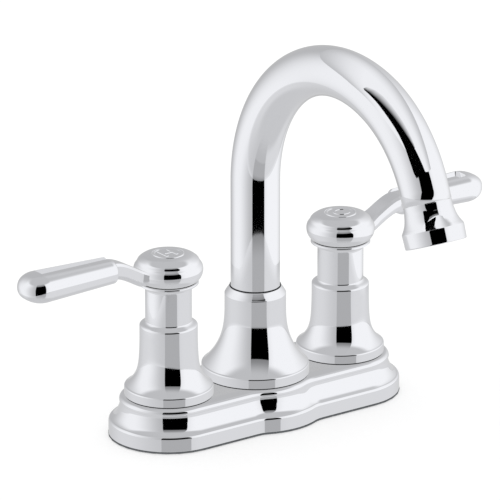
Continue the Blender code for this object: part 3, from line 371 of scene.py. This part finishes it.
def build_plate():
    plate = trace("deck_plate_cast", outline + outline[:1])
    bpy.ops.mesh.select_all(action='SELECT')
    bpy.ops.mesh.remove_doubles(threshold=0.002 * MM)
    bpy.ops.mesh.select_mode(type='EDGE')
    bpy.ops.mesh.select_all(action='SELECT')
    for (out, height), (next_out, next_height) in zip(PLATE_LEVELS, PLATE_LEVELS[1:]):
        lift = (0, 0, max(next_height - height, 0.005) * MM)
        bpy.ops.mesh.extrude_region_move(TRANSFORM_OT_translate={"value": lift})
        if next_out != out:
            bpy.ops.transform.shrink_fatten(value=(next_out - out) * MM * PUSH)
    bpy.ops.mesh.edge_face_add()
    bpy.ops.mesh.select_mode(type='FACE')
    bpy.ops.mesh.inset(thickness=0.3 * MM)
    return finish_mesh(plate)


def finish_wall(piece, wall):
    """Give an open skin a wall on its inner side."""
    solid = piece.modifiers.new("Wall", 'SOLIDIFY')
    solid.thickness = wall * MM
    solid.offset = -1
    bpy.ops.object.modifier_apply(modifier=solid.name)
    return piece


def boolean(piece, tool, operation):
    """Join or cut with another mesh, then throw the tool away."""
    bpy.ops.object.select_all(action='DESELECT')
    piece.select_set(True)
    bpy.context.view_layer.objects.active = piece
    modifier = piece.modifiers.new(operation.title(), 'BOOLEAN')
    modifier.operation = operation
    modifier.solver = 'EXACT'
    modifier.object = tool
    bpy.ops.object.modifier_apply(modifier=modifier.name)
    bpy.data.objects.remove(tool, do_unlink=True)
    return piece


plate = finish_wall(build_plate(), 1.6)
for x in (-HANDLE_X, 0, HANDLE_X):
    bpy.ops.object.select_all(action='DESELECT')
    bpy.ops.mesh.primitive_cylinder_add(vertices=64, radius=10.6 * MM, depth=12 * MM,
                                        location=(x * MM, 0, PLATE_TOP * MM))
    boolean(plate, finish_mesh(bpy.context.object), 'DIFFERENCE')
print("plate", len(plate.data.polygons), "faces, widest", round(widest(plate), 2))
dress(plate, "faucet_body", CHROME, "polished_chrome", "escutcheon_plate")

# %% [markdown]
# The gooseneck is one bent tube with a small flange at its foot, hidden in the base. By
# hand: a circle is pulled up and spun round the centre of the first bend. The second bend is
# tighter and thins the tube a little, so there the end is pulled on by short steps, each
# time turned and shrunk. A Solidify modifier gives the tube its wall.

# %% Gooseneck
TUBE_R, TUBE_END_R = 11.8, 11.4
ARCH_START = 116.8
ARCH_R, ARCH_TURN = 70.5, 112.0
END_BEND_R, TOTAL_TURN = 62.0, 158.5


def direction(turn):
    """Along the tube after it has turned through an angle in degrees."""
    return Vector((0, -math.sin(math.radians(turn)), math.cos(math.radians(turn))))


def outward(turn):
    return Vector((0, math.cos(math.radians(turn)), math.sin(math.radians(turn))))


def start_tube(foot=29.0, flange=12.8):
    """A circle on the foot's plane, pulled up over the flange and on to the first bend."""
    bpy.ops.object.select_all(action='DESELECT')
    bpy.ops.mesh.primitive_circle_add(vertices=72, radius=flange * MM, location=(0, 0, foot * MM))
    tube = bpy.context.object
    tube.name = "gooseneck_tube"
    bpy.ops.object.transform_apply(location=True, rotation=True, scale=True)
    bpy.ops.object.mode_set(mode='EDIT')
    bpy.ops.mesh.select_mode(type='VERT')
    bpy.ops.mesh.select_all(action='SELECT')
    bpy.ops.mesh.extrude_region_move(TRANSFORM_OT_translate={"value": (0, 0, 2 * MM)})
    bpy.ops.mesh.extrude_region_move(TRANSFORM_OT_translate={"value": (0, 0, 0)})
    bpy.ops.transform.resize(value=(TUBE_R / flange, TUBE_R / flange, 1))
    rise = (0, 0, (ARCH_START - foot - 2) * MM)
    bpy.ops.mesh.extrude_region_move(TRANSFORM_OT_translate={"value": rise})
    return tube


def bend_on(centre, steps=31):
    """Pull the open end round the second bend, thinning it on the way."""
    turn = (TOTAL_TURN - ARCH_TURN) / steps
    thin = (TUBE_END_R / TUBE_R) ** (1 / steps)
    for i in range(steps):
        here = centre + outward(ARCH_TURN + i * turn) * END_BEND_R
        there = centre + outward(ARCH_TURN + (i + 1) * turn) * END_BEND_R
        bpy.ops.mesh.extrude_region_move(TRANSFORM_OT_translate={"value": (there - here) * MM})
        bpy.ops.transform.rotate(value=math.radians(-turn), orient_axis='X',
                                 center_override=there * MM)
        bpy.ops.transform.resize(value=(thin, thin, thin), center_override=there * MM)
    return centre + outward(TOTAL_TURN) * END_BEND_R


def build_gooseneck(straight=5.5):
    tube = start_tube()
    centre = Vector((0, -ARCH_R, ARCH_START))
    bpy.ops.mesh.spin(steps=75, angle=math.radians(ARCH_TURN), center=centre * MM, axis=(-1, 0, 0))
    end = bend_on(centre + outward(ARCH_TURN) * (ARCH_R - END_BEND_R))
    step = direction(TOTAL_TURN) * straight
    bpy.ops.mesh.extrude_region_move(TRANSFORM_OT_translate={"value": step * MM})
    return finish_wall(finish_mesh(tube), 1.4), end + step


tube, seam = build_gooseneck()
lows = [min(v.co[i] for v in tube.data.vertices) / MM for i in range(3)]
highs = [max(v.co[i] for v in tube.data.vertices) / MM for i in range(3)]
print("gooseneck", [round(v, 1) for v in lows], [round(v, 1) for v in highs], "seam", seam)
dress(tube, "spout", CHROME, "polished_chrome", "spout_tube")

# %% [markdown]
# The outlet piece caps the gooseneck. It is turned about the tube's own slanting axis: a
# sleeve that flares like a small bell to a plain band. It is drawn upright at first, and
# then turned into place.

# %% Outlet
def tip_profile():
    sleeve = rounded([(11.35, 0.3), (11.4, 2.7), (11.63, 4.3), (12.0, 6.45), (12.55, 8.45),
                      (13.4, 10.3), (14.05, 11.4), (14.38, 12.0),
                      (14.52, 12.3), (14.55, 12.6), None, (14.36, 18.9), None,
                      (14.28, 19.15), (14.1, 19.33), (13.9, 19.4), None, (12.6, 19.4)])
    inside = [(12.3, 19.1), (12.3, 8.3), (8.6, 8.3), (8.6, -6.0), (10.0, -6.0), (10.0, 0.3)]
    return sleeve + inside


def put_on_seam(piece):
    """Turn a piece drawn along +Z so that it follows the tube, and move it to the seam."""
    where = Matrix.Translation(seam * MM) @ Matrix.Rotation(math.radians(TOTAL_TURN), 4, 'X')
    piece.matrix_world = where
    bpy.ops.object.select_all(action='DESELECT')
    piece.select_set(True)
    bpy.context.view_layer.objects.active = piece
    bpy.ops.object.transform_apply(location=True, rotation=True, scale=True)


tip = spin("outlet_bell", tip_profile())
put_on_seam(tip)
dress(tip, "spout", CHROME, "polished_chrome", "spout_tip")

# %% [markdown]
# A lever is one casting: a domed hub, an arm that sweeps out and up in an S, and a bar to
# hold. The arm has a flat top with crisp edges over rounded flanks, and that flat runs on
# into the bar as a sunk strip. Hub, arm and bar are modelled apart and joined by Boolean
# modifiers, which keeps the crisp meeting lines that the casting shows.

# %% Lever hub
HUB_LOW = 77.3


def hub_profile():
    skin = rounded([(13.4, 77.3), (14.2, 77.7), (15.1, 78.6), (15.85, 79.8), (16.3, 81.1),
                    (16.5, 82.4), (16.48, 83.6), (16.25, 84.7), (15.8, 85.5), (15.3, 86.15),
                    (14.95, 86.65), (14.75, 87.25), (14.2, 88.05), (13.0, 89.0), (11.5, 89.8),
                    (9.5, 90.3), (7.9, 90.5)])
    recess = [(7.8, 90.4), (7.8, 88.1), (4.6, 88.1), (4.6, 85.8), (2.6, 85.8), (2.6, 84.5),
              (4.5, 84.5), (4.5, 68.8), (7.2, 68.8), (7.2, 77.3)]
    return skin + recess


# %% [markdown]
# The arm and the bar are both pulled out of a section. The section is traced and filled,
# and its face is extruded from station to station and scaled at each one.

# %% Arm and bar
def pull_sections(name, section, stations):
    """Trace and fill a section, then extrude it from station to station.

    A section is a list of (y, z) points round its own middle. A station is
    (x, z, width, height), where width and height scale the section."""
    x0, z0, wide, high = stations[0]
    points = [(x0 * MM, y * wide * MM, (z0 + z * high) * MM) for y, z in section]
    piece = trace(name, points)
    bpy.ops.mesh.select_all(action='SELECT')
    bpy.ops.mesh.edge_face_add()
    bpy.ops.mesh.select_mode(type='FACE')
    for (xa, za, wa, ha), (xb, zb, wb, hb) in zip(stations, stations[1:]):
        step = ((xb - xa) * MM, 0, (zb - za) * MM)
        bpy.ops.mesh.extrude_region_move(TRANSFORM_OT_translate={"value": step})
        bpy.ops.transform.resize(value=(1, wb / wa, hb / ha),
                                 center_override=(xb * MM, 0, zb * MM))
    bpy.ops.object.mode_set(mode='OBJECT')
    return piece


def arm_top(d):
    """Height of the arm's flat top at a distance d from the handle's axis."""
    t = min(max((d - 9.0) / 25.0, 0.0), 1.0)
    return 83.6 + 9.6 * t * t * (3 - 2 * t)


def arm_section():
    """Flat top with crisp edges, full flanks and a rounded belly, about the top's middle."""
    points = [(-4.0, 0.0), (-2.0, 0.0), (0.0, 0.0), (2.0, 0.0), (4.0, 0.0)]
    for i in range(21):
        angle = math.pi * i / 20
        across, down = math.cos(angle), math.sin(angle)
        points.append((5.2 * math.copysign(abs(across) ** 0.6, across),
                       -1.2 - 7.3 * down ** 0.6))
    return points


def bar_section(count=56):
    """A squarish oval, as wide and high as 1 each way."""
    points = []
    for i in range(count):
        angle = math.tau * (i + 0.5) / count
        across, rise = math.cos(angle), math.sin(angle)
        points.append((math.copysign(abs(across) ** 0.8, across),
                       math.copysign(abs(rise) ** 0.8, rise)))
    return points


def arm_stations(side):
    stations = []
    for i in range(37):
        d = 8.0 + i
        depth = min(8.5, arm_top(d) - HUB_LOW - 0.7)
        flare = max(0.0, (20.0 - max(d, 15.5)) / 4.5) ** 2
        stations.append((side * (HANDLE_X + d), arm_top(d), 1 + 0.22 * flare, depth / 8.5))
    return stations


BAR_START, BAR_END, BAR_MIDDLE = 32.0, 83.8, 89.0
INNER_ROUND, OUTER_DOME = 2.6, 10.9


def bar_stations(side):
    """From a nearly flat inner end the bar widens to a full dome at its outer end."""
    quarter = [math.sin(math.radians(a)) for a in range(3, 90, 6)]
    places = [BAR_START + INNER_ROUND * (1 - s) for s in reversed(quarter)]
    places = [BAR_START + 0.001] + places + [36, 45, 55, 65]
    places += [BAR_END - OUTER_DOME] + [BAR_END - OUTER_DOME * (1 - s) for s in quarter]
    stations = []
    for d in places:
        swell = 1.0
        if d < BAR_START + INNER_ROUND:
            swell = math.sqrt(1 - ((BAR_START + INNER_ROUND - d) / INNER_ROUND) ** 2)
        if d > BAR_END - OUTER_DOME:
            swell = math.sqrt(1 - ((d - BAR_END + OUTER_DOME) / OUTER_DOME) ** 2)
        along = (d - BAR_START) / (BAR_END - BAR_START)
        stations.append((side * (HANDLE_X + d), BAR_MIDDLE, swell * (7.7 + 2.8 * along),
                         swell * (5.9 + 1.4 * along)))
    return stations


# %% [markdown]
# The bar's sunk strip is cut with a block whose floor carries the arm's flat top on. Then
# the bar, arm and hub are joined. The hole for the stem, screw and button is part of the
# hub's profile, and the arm starts outside it.

# %% Lever castings
def strip_cutter(side):
    """A block over the bar's top, whose floor is the arm's flat top carried on outwards."""
    section = [(-1, 0), (1, 0), (1, 1), (-1, 1)]
    stations = []
    for d, half in ((28, 3.6), (30, 3.6), (32, 3.6), (34, 3.65), (72.6, 4.3), (73.2, 4.1),
                    (73.5, 3.5)):
        stations.append((side * (HANDLE_X + d), arm_top(d) - 0.02, half, 6.0))
    return finish_mesh(pull_sections("strip_cutter", section, stations))


def build_lever(label, side):
    hub = spin(label + "_lever_casting", hub_profile(), side * HANDLE_X * MM)
    bar = finish_mesh(pull_sections("bar", bar_section(), bar_stations(side)))
    boolean(bar, strip_cutter(side), 'DIFFERENCE')
    arm = finish_mesh(pull_sections("arm", arm_section(), arm_stations(side)))
    boolean(bar, arm, 'UNION')
    boolean(hub, bar, 'UNION')
    return finish_mesh(hub, 32)


for label, side in SIDES:
    lever = build_lever(label, side)
    print(lever.name, len(lever.data.polygons), "faces")
    dress(lever, label + "_handle", CHROME, "polished_chrome", label + "_lever_handle")

# %% [markdown]
# The index buttons close the hubs. Each is a low chrome disc with a soft edge, and carries
# a raised letter: H for hot on the left and C for cold on the right, as on most faucets.

# %% Index buttons
def button_profile():
    return rounded([(0, 88.4), (7.55, 88.4), None, (7.55, 90.2), None,
                    (7.5, 90.5), (7.25, 90.75), (6.9, 90.75), (6.5, 90.55), (6.2, 90.35), None,
                    (0, 90.35)])


def raised_letter(letter, x):
    bpy.ops.object.select_all(action='DESELECT')
    bpy.ops.object.text_add(location=(x, 0, 90.3 * MM))
    text = bpy.context.object
    text.data.body = letter
    text.data.size = 11.5 * MM
    text.data.align_x = 'CENTER'
    text.data.align_y = 'CENTER'
    text.data.extrude = 0.35 * MM
    text.data.bevel_depth = 0.06 * MM
    bpy.ops.object.convert(target='MESH')
    bpy.ops.object.transform_apply(location=True, rotation=True, scale=True)
    return finish_mesh(bpy.context.object, 40)


for label, side, letter in (("hot", -1, "H"), ("cold", 1, "C")):
    x = side * HANDLE_X * MM
    button = spin(label + "_button_disc", button_profile(), x, 64)
    dress(button, label + "_handle", CHROME, "polished_chrome", label + "_index_button")
    mark = raised_letter(letter, x)
    mark.name = label + "_button_letter"
    dress(mark, label + "_handle", CHROME, "polished_chrome")

# %% [markdown]
# What is left shows from below, from the back, or not at all: the brass, rubber and plastic
# inside. Those nodes keep their CAD shape and get plain finishes. Each one has a fine grain
# at its real size, as turned brass, moulded rubber or pressed gasket has.

# %% Plain finishes
def grained(name, dark, light, metallic, roughness, grain):
    """A finish whose tone wanders between two hex colours over grains of some millimetres."""
    material, tree, shader = new_material(name)
    shader.inputs["Metallic"].default_value = metallic
    shader.inputs["Roughness"].default_value = roughness
    place = add_node(tree, "ShaderNodeTexCoord")
    noise = add_node(tree, "ShaderNodeTexNoise", {"Scale": 1 / (grain * MM), "Detail": 5.0},
                     {"Vector": place.outputs["Object"]})
    tone = add_node(tree, "ShaderNodeValToRGB", links={"Fac": noise.outputs["Fac"]})
    tone.color_ramp.elements[0].position = 0.35
    tone.color_ramp.elements[0].color = linear(dark)
    tone.color_ramp.elements[1].position = 0.65
    tone.color_ramp.elements[1].color = linear(light)
    tree.links.new(tone.outputs["Color"], shader.inputs["Base Color"])
    relief = add_node(tree, "ShaderNodeBump", {"Strength": 0.25, "Distance": 0.05 * MM},
                      {"Height": noise.outputs["Fac"]})
    tree.links.new(relief.outputs["Normal"], shader.inputs["Normal"])
    return material


BRASS = grained("brass_cast_and_turned", "#A9884A", "#C4A566", 1.0, 0.38, 1.2)
STEEL = grained("stainless_steel_rolled", "#A9AAAD", "#BCBDC0", 1.0, 0.30, 1.0)
RUBBER = grained("epdm_rubber_moulded", "#191919", "#242424", 0.0, 0.75, 0.5)
FOAM = grained("polyethylene_foam_gasket", "#55585B", "#6A6D70", 0.0, 0.95, 0.8)
ACETAL = grained("acetal_moulded", "#E2E1DC", "#EDECE7", 0.0, 0.42, 2.0)
CERAMIC = grained("alumina_ceramic_lapped", "#EAE8E2", "#F3F1EC", 0.0, 0.22, 0.3)
NYLON = grained("glass_filled_nylon", "#3E4145", "#4D5054", 0.0, 0.60, 0.4)
FINISHES = {
    "cast_brass": (BRASS, "waterway_body hot_locknut spout_locknut cold_locknut spout_post "
                   "spout_retaining_nut *cartridge_body *cartridge_nut *stem"),
    "black_rubber": (RUBBER, "spout_o_ring_lower spout_o_ring_upper aerator_washer *seat_seal "
                     "*stem_o_ring *mounting_washer"),
    "white_acetal": (ACETAL, "spout_glide_washer spout_bushing aerator_housing aerator_screen "
                     "*guide_ring"),
    "white_ceramic": (CERAMIC, "*fixed_disc *turning_disc"),
    "stainless_steel": (STEEL, "*handle_screw"),
    "grey_nylon": (NYLON, "*mounting_nut"),
    "grey_gasket": (FOAM, "deck_gasket"),
}
count = 0
for material, names in FINISHES.values():
    for name in names.split():
        sides = ("hot_", "cold_") if name.startswith("*") else ("",)
        for side_name in sides:
            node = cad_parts[side_name + name.lstrip("*")]
            node.data.materials.clear()
            node.data.materials.append(material)
            count += 1
print("plain finishes on", count, "nodes")

# %% [markdown]
# Below the deck the two shanks are threaded nearly to the top. The CAD has them plain, so each
# gets a turned stand-in with a ridge every 1.8 mm. The ridges are rings, not a helix.

# %% Threaded shanks
SHANK_LOW, CREST, ROOT, PITCH = -48.0, 10.4, 9.6, 1.8


def shank_profile(top):
    ridges = [(6.2, SHANK_LOW), (ROOT, SHANK_LOW)]
    for i in range(int((-1.0 - SHANK_LOW) / PITCH)):
        low = SHANK_LOW + 0.3 + i * PITCH
        ridges += [(ROOT, low), (CREST, low + 0.7), (CREST, low + 0.9), (ROOT, low + 1.6)]
    return ridges + [(CREST, -0.9), (CREST, top), (6.2, top)]


for label, side in SIDES:
    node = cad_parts[label + "_shank"]
    top = max((node.matrix_world @ v.co).z for v in node.data.vertices) / MM
    shank = spin(label + "_shank_threaded", shank_profile(top), side * HANDLE_X * MM, 48)
    dress(shank, "faucet_body", BRASS, "cast_brass", label + "_shank")

# %% [markdown]
# The photographer's table is a sheet of glossy white acrylic. In front of it stands a black
# card, a little to the right of the camera, with a white diffuser on each side and a grey
# room above and behind. The card draws the crisp black blocks in the chrome. Card, diffusers
# and room are painted on the inside of one big dome, so that all pieces mirror them alike, and
# only mirror-like materials see it: the camera and soft surfaces get a plain white room.

# %% Stage helpers
AZIMUTH, ELEVATION = math.radians(-35.969), math.radians(19.267)
TOWARDS = Vector((math.sin(AZIMUTH), -math.cos(AZIMUTH), 0))
SIDEWAYS = Vector((math.cos(AZIMUTH), math.sin(AZIMUTH), 0))


def light_material(name, build):
    """A material whose shader comes from build(tree)."""
    material = bpy.data.materials.new(name)
    material.use_nodes = True
    tree = material.node_tree
    tree.nodes.clear()
    shader = build(tree)
    add_node(tree, "ShaderNodeOutputMaterial", links={"Surface": shader})
    return material


def painted_glow(tree):
    """An even glow, as strong as the mesh's own painted values."""
    painted = add_node(tree, "ShaderNodeAttribute", {"attribute_name": "strength"})
    glow = add_node(tree, "ShaderNodeEmission", links={"Strength": painted.outputs["Fac"]})
    glow.inputs["Color"].default_value = (1, 1, 1, 1)
    return glow.outputs["Emission"]


def at(azimuth, elevation, distance):
    """A place on the stage, in millimetres. The azimuth is in degrees to the camera's right."""
    turn, rise = math.radians(azimuth), math.radians(elevation)
    flat = TOWARDS * math.cos(turn) + SIDEWAYS * math.sin(turn)
    return (flat * math.cos(rise) + Vector((0, 0, math.sin(rise)))) * distance


def unseen_stage(piece):
    """Part of the stage that only mirror-like materials show."""
    piece.visible_camera = False
    piece.visible_diffuse = False
    piece.visible_shadow = False
    piece.visible_transmission = False
    return piece


def painted_mesh(name, points, faces, material, strengths):
    """A stage mesh from points in millimetres, with a strength painted on each."""
    mesh = bpy.data.meshes.new(name)
    mesh.from_pydata([tuple(Vector(p) * MM) for p in points], [], faces)
    layer = mesh.attributes.new("strength", 'FLOAT', 'POINT')
    layer.data.foreach_set("value", strengths)
    mesh.materials.append(material)
    piece = bpy.data.objects.new(name, mesh)
    bpy.context.scene.collection.objects.link(piece)
    return unseen_stage(piece)


def stage_grid(name, rows, material, strengths):
    """A grid of stage points, closed round the axis."""
    wide = len(rows[0])
    faces = [(r * wide + i, r * wide + (i + 1) % wide, (r + 1) * wide + (i + 1) % wide,
              (r + 1) * wide + i) for r in range(len(rows) - 1) for i in range(wide)]
    points = [point for row in rows for point in row]
    return painted_mesh(name, points, faces, material, strengths)


# %% [markdown]
# The card fills the azimuths from -14 to 43 degrees, up to 39 degrees above the horizon. The
# diffusers are brightest from 85 to 98 degrees on the left and from 64 to 112 on the right,
# and fade towards the back. Above them the room is an even grey.

# %% Dome
CARD_LEFT, CARD_RIGHT, CARD_TOP = -14.0, 43.0, 39.0
ROOM_TONE, LEFT_TONE, RIGHT_TONE = 0.55, 0.475, 0.515


def ease(x, low, high):
    t = min(max((x - low) / (high - low), 0.0), 1.0)
    return t * t * (3 - 2 * t)


def side_light(azimuth):
    """The room's own tone, and two diffusers that fade at their edges."""
    left = ease(azimuth, -158, -98) * (1 - ease(azimuth, -85, -8))
    right = ease(azimuth, 0, 64) * (1 - ease(azimuth, 112, 187))
    return ROOM_TONE + LEFT_TONE * left + RIGHT_TONE * right


def dome_strength(azimuth, elevation):
    if CARD_LEFT < azimuth < CARD_RIGHT:
        if elevation < CARD_TOP:
            return 0.0
        return 0.26 + 0.33 * ease(elevation, CARD_TOP, 66)
    above = ease(elevation, 45, 57)
    return side_light(azimuth) * (1 - above) + 0.6 * above


def steps_with_edges(start, stop, step, edges, soft):
    """Even steps from start to stop, with a close pair of values round each sharp edge."""
    values = [start + step * i for i in range(int((stop - start) / step) + 1)]
    values = [v for v in values if all(abs(v - e) > soft for e in edges)]
    return sorted(values + [e - soft for e in edges] + [e + soft for e in edges])


turns = steps_with_edges(-180, 177, 3, [CARD_LEFT, CARD_RIGHT], 0.4)
rises = steps_with_edges(-90, 90, 3, [CARD_TOP], 0.6)
glow = [dome_strength(a, e) for e in rises for a in turns]
stage_grid("room_dome", [[at(a, e, 6000) for a in turns] for e in rises],
           light_material("dome_paint", painted_glow), glow)
print("dome", len(glow), "painted points, brightest", max(glow))

# %% [markdown]
# A wide soft light hangs close over the spout, with a narrow black flag under its left part.
# They are why the arch is nearly white where it faces up, and why a dark line runs along it.
# The flag has three parts. Past a sheet's reach a ray goes through it, which no real sheet
# does. So the hubs and the plate mirror the grey of the room, and only the arch and the outlet
# below it get the sheets.

# %% Light and flag over the spout
LIGHT_HEIGHT, LIGHT_REACH = 222, 120
FLAG_HEIGHT = 204


def near_glow(tree, reach):
    path = add_node(tree, "ShaderNodeLightPath")
    far = add_node(tree, "ShaderNodeMath", {"operation": 'GREATER_THAN'},
                   {"Value": path.outputs["Ray Length"]})
    far.inputs[1].default_value = reach * MM
    clear = add_node(tree, "ShaderNodeBsdfTransparent")
    mix = add_node(tree, "ShaderNodeMixShader", links={"Fac": far.outputs["Value"]})
    tree.links.new(painted_glow(tree), mix.inputs[1])
    tree.links.new(clear.outputs["BSDF"], mix.inputs[2])
    return mix.outputs["Shader"]


def stage_sheet(name, points, faces, height, reach, strengths):
    """A flat sheet through these (x, y) points, at one height over the deck."""
    material = light_material(name + "_sheet", lambda tree: near_glow(tree, reach))
    return painted_mesh(name, [(x, y, height) for x, y in points], faces, material, strengths)


across = ((-160, 1.0), (0, 1.0), (10, 0.8), (20, 0.5), (30, 0.2), (40, 0.0))
along = ((-260, 1.0), (-80, 1.0), (-64, 0.8), (-48, 0.5), (-32, 0.2), (-16, 0.0))
points = [(x, y) for x, _ in across for y, _ in along]
wide = len(along)
faces = [(wide * i + k, wide * i + k + 1, wide * (i + 1) + k + 1, wide * (i + 1) + k)
         for i in range(len(across) - 1) for k in range(wide - 1)]
stage_sheet("light_over_spout", points, faces, LIGHT_HEIGHT, LIGHT_REACH,
            [0.6 + 0.42 * a * b for _, a in across for _, b in along])
left = [(-30, -86), (-31, -92), (-34, -100), (-39, -107), (-43, -114), (-48, -123), (-54, -131),
        (-64, -140), (-73, -147), (-88, -155), (-98, -160)]
right = [(-28, -86), (-26, -92), (-25, -100), (-25, -107), (-25, -114), (-25, -123),
         (-25, -131), (-25, -140), (-24, -147), (-23, -155), (-22, -160)]
fade = [(-27, -86), (-19, -92), (-14, -100), (-12, -107), (-12, -114), (-12, -123),
        (-12, -131), (-13, -140), (-14, -147), (-16, -155), (-18, -160)]
long = len(left)
strips = [(row * long + i, row * long + i + 1, (row + 1) * long + i + 1, (row + 1) * long + i)
          for row in (0, 1) for i in range(long - 1)]
stage_sheet("flag_over_spout", left + right + fade, strips, FLAG_HEIGHT, 135,
            [0.0] * (2 * long) + [0.9] * long)
stage_sheet("flag_over_outlet", [(-66, -160), (-22, -160), (-19, -215), (-66, -215)],
            [(0, 1, 2, 3)], FLAG_HEIGHT, 90, [0.0] * 4)
stage_sheet("flag_to_the_left", [(-66, -160), (-66, -215), (-149, -215), (-149, -193),
                                 (-126, -177), (-98, -160)], [(0, 1, 2, 3, 4, 5)],
            FLAG_HEIGHT, 165, [0.0] * 6)

# %% [markdown]
# The acrylic has its own painted white glow under a faint mirror. Beyond 235 mm the glow is
# painted to the tone of what stands behind it, darker towards the card and behind, lighter at
# the sides: a painted reflection. The floor that the camera sees is a separate, plain sheet,
# so that it can be white and still carry the faucet's soft shadow.

# %% Table and floor
TABLE_RADIUS = 276.0


def acrylic_shader(tree):
    acrylic = add_node(tree, "ShaderNodeMixShader", {"Fac": 0.31})
    tree.links.new(painted_glow(tree), acrylic.inputs[1])
    mirror = add_node(tree, "ShaderNodeBsdfGlossy", {"Roughness": 0.02})
    mirror.inputs["Color"].default_value = (1, 1, 1, 1)
    tree.links.new(mirror.outputs["BSDF"], acrylic.inputs[2])
    return acrylic.outputs["Shader"]


def table_glow_painted_reflection(azimuth, radius):
    # The glow is painted darker towards the card and behind and lighter at the sides: a painted
    # reflection of the stage past the table's edge.
    card = ease(azimuth, CARD_LEFT - 6, CARD_LEFT + 6) * (1 - ease(azimuth, CARD_RIGHT - 6,
                                                                   CARD_RIGHT + 6))
    behind = ease(abs(azimuth), 105, 135)
    edge = 0.90 * (1 - card) * (1 - behind) + 0.43 * card + 0.5 * behind
    far = ease(radius, 235, TABLE_RADIUS + 6)
    return 0.70 * (1 - far) + edge * far


def table_edge(azimuth):
    """The sheet is a little shallower at its sides than towards the card."""
    return (TABLE_RADIUS - 55 * ease(abs(azimuth - 12), 12, 95)) / TABLE_RADIUS


radii = [1, 100, 195] + [200 + 7.6 * i for i in range(11)]
table_turns = [5 * i - 180 for i in range(72)]
stage_grid("acrylic_table", [[at(a, 0, r * table_edge(a)) for a in table_turns] for r in radii],
           light_material("acrylic_painted_glow_and_reflection", acrylic_shader),
           [table_glow_painted_reflection(a, r) for r in radii for a in table_turns])


def floor_shader(tree):
    """White to the camera, with a soft shadow where the faucet stands."""
    white = add_node(tree, "ShaderNodeBsdfDiffuse", {"Color": linear("#BCBCBC")})
    own = add_node(tree, "ShaderNodeEmission", {"Color": (1, 1, 1, 1), "Strength": 0.56})
    both = add_node(tree, "ShaderNodeAddShader")
    tree.links.new(white.outputs["BSDF"], both.inputs[0])
    tree.links.new(own.outputs["Emission"], both.inputs[1])
    return both.outputs["Shader"]


bpy.ops.object.select_all(action='DESELECT')
bpy.ops.mesh.primitive_circle_add(vertices=48, radius=9, fill_type='NGON',
                                  location=(0, 0, -0.5 * MM))
floor = bpy.context.object
floor.name = "studio_floor"
floor.data.materials.append(light_material("floor_white", floor_shader))
floor.visible_glossy = False
print("table", 2 * TABLE_RADIUS, "mm across")

# %% [markdown]
# What the camera sees behind the table is plain white, and it also lights the soft finishes.

# %% Room
world = bpy.data.worlds.new("white_room")
world.use_nodes = True
world.node_tree.nodes["Background"].inputs["Color"].default_value = (1, 1, 1, 1)
world.node_tree.nodes["Background"].inputs["Strength"].default_value = 1.0
bpy.context.scene.world = world

# %% [markdown]
# The camera stands where the photograph was taken from: about three metres away, 36 degrees
# round to the hot side and 19 degrees up, with a long lens.

# %% Camera
LENS = 427.28
DISTANCE, SHIFT_RIGHT, SHIFT_UP = 2859.0, -2.524, 77.07
back = TOWARDS * math.cos(ELEVATION) + Vector((0, 0, math.sin(ELEVATION)))
right = SIDEWAYS.copy()
up = back.cross(right)
lens = bpy.data.cameras.new("camera")
lens.lens = LENS
lens.sensor_width = 36.0
camera = bpy.data.objects.new("camera", lens)
bpy.context.scene.collection.objects.link(camera)
place = (back * DISTANCE + right * SHIFT_RIGHT + up * SHIFT_UP) * MM
camera.matrix_world = Matrix.Translation(place) @ Matrix((right, up, back)).transposed().to_4x4()
bpy.context.scene.camera = camera
bpy.context.scene.view_settings.view_transform = 'Standard'
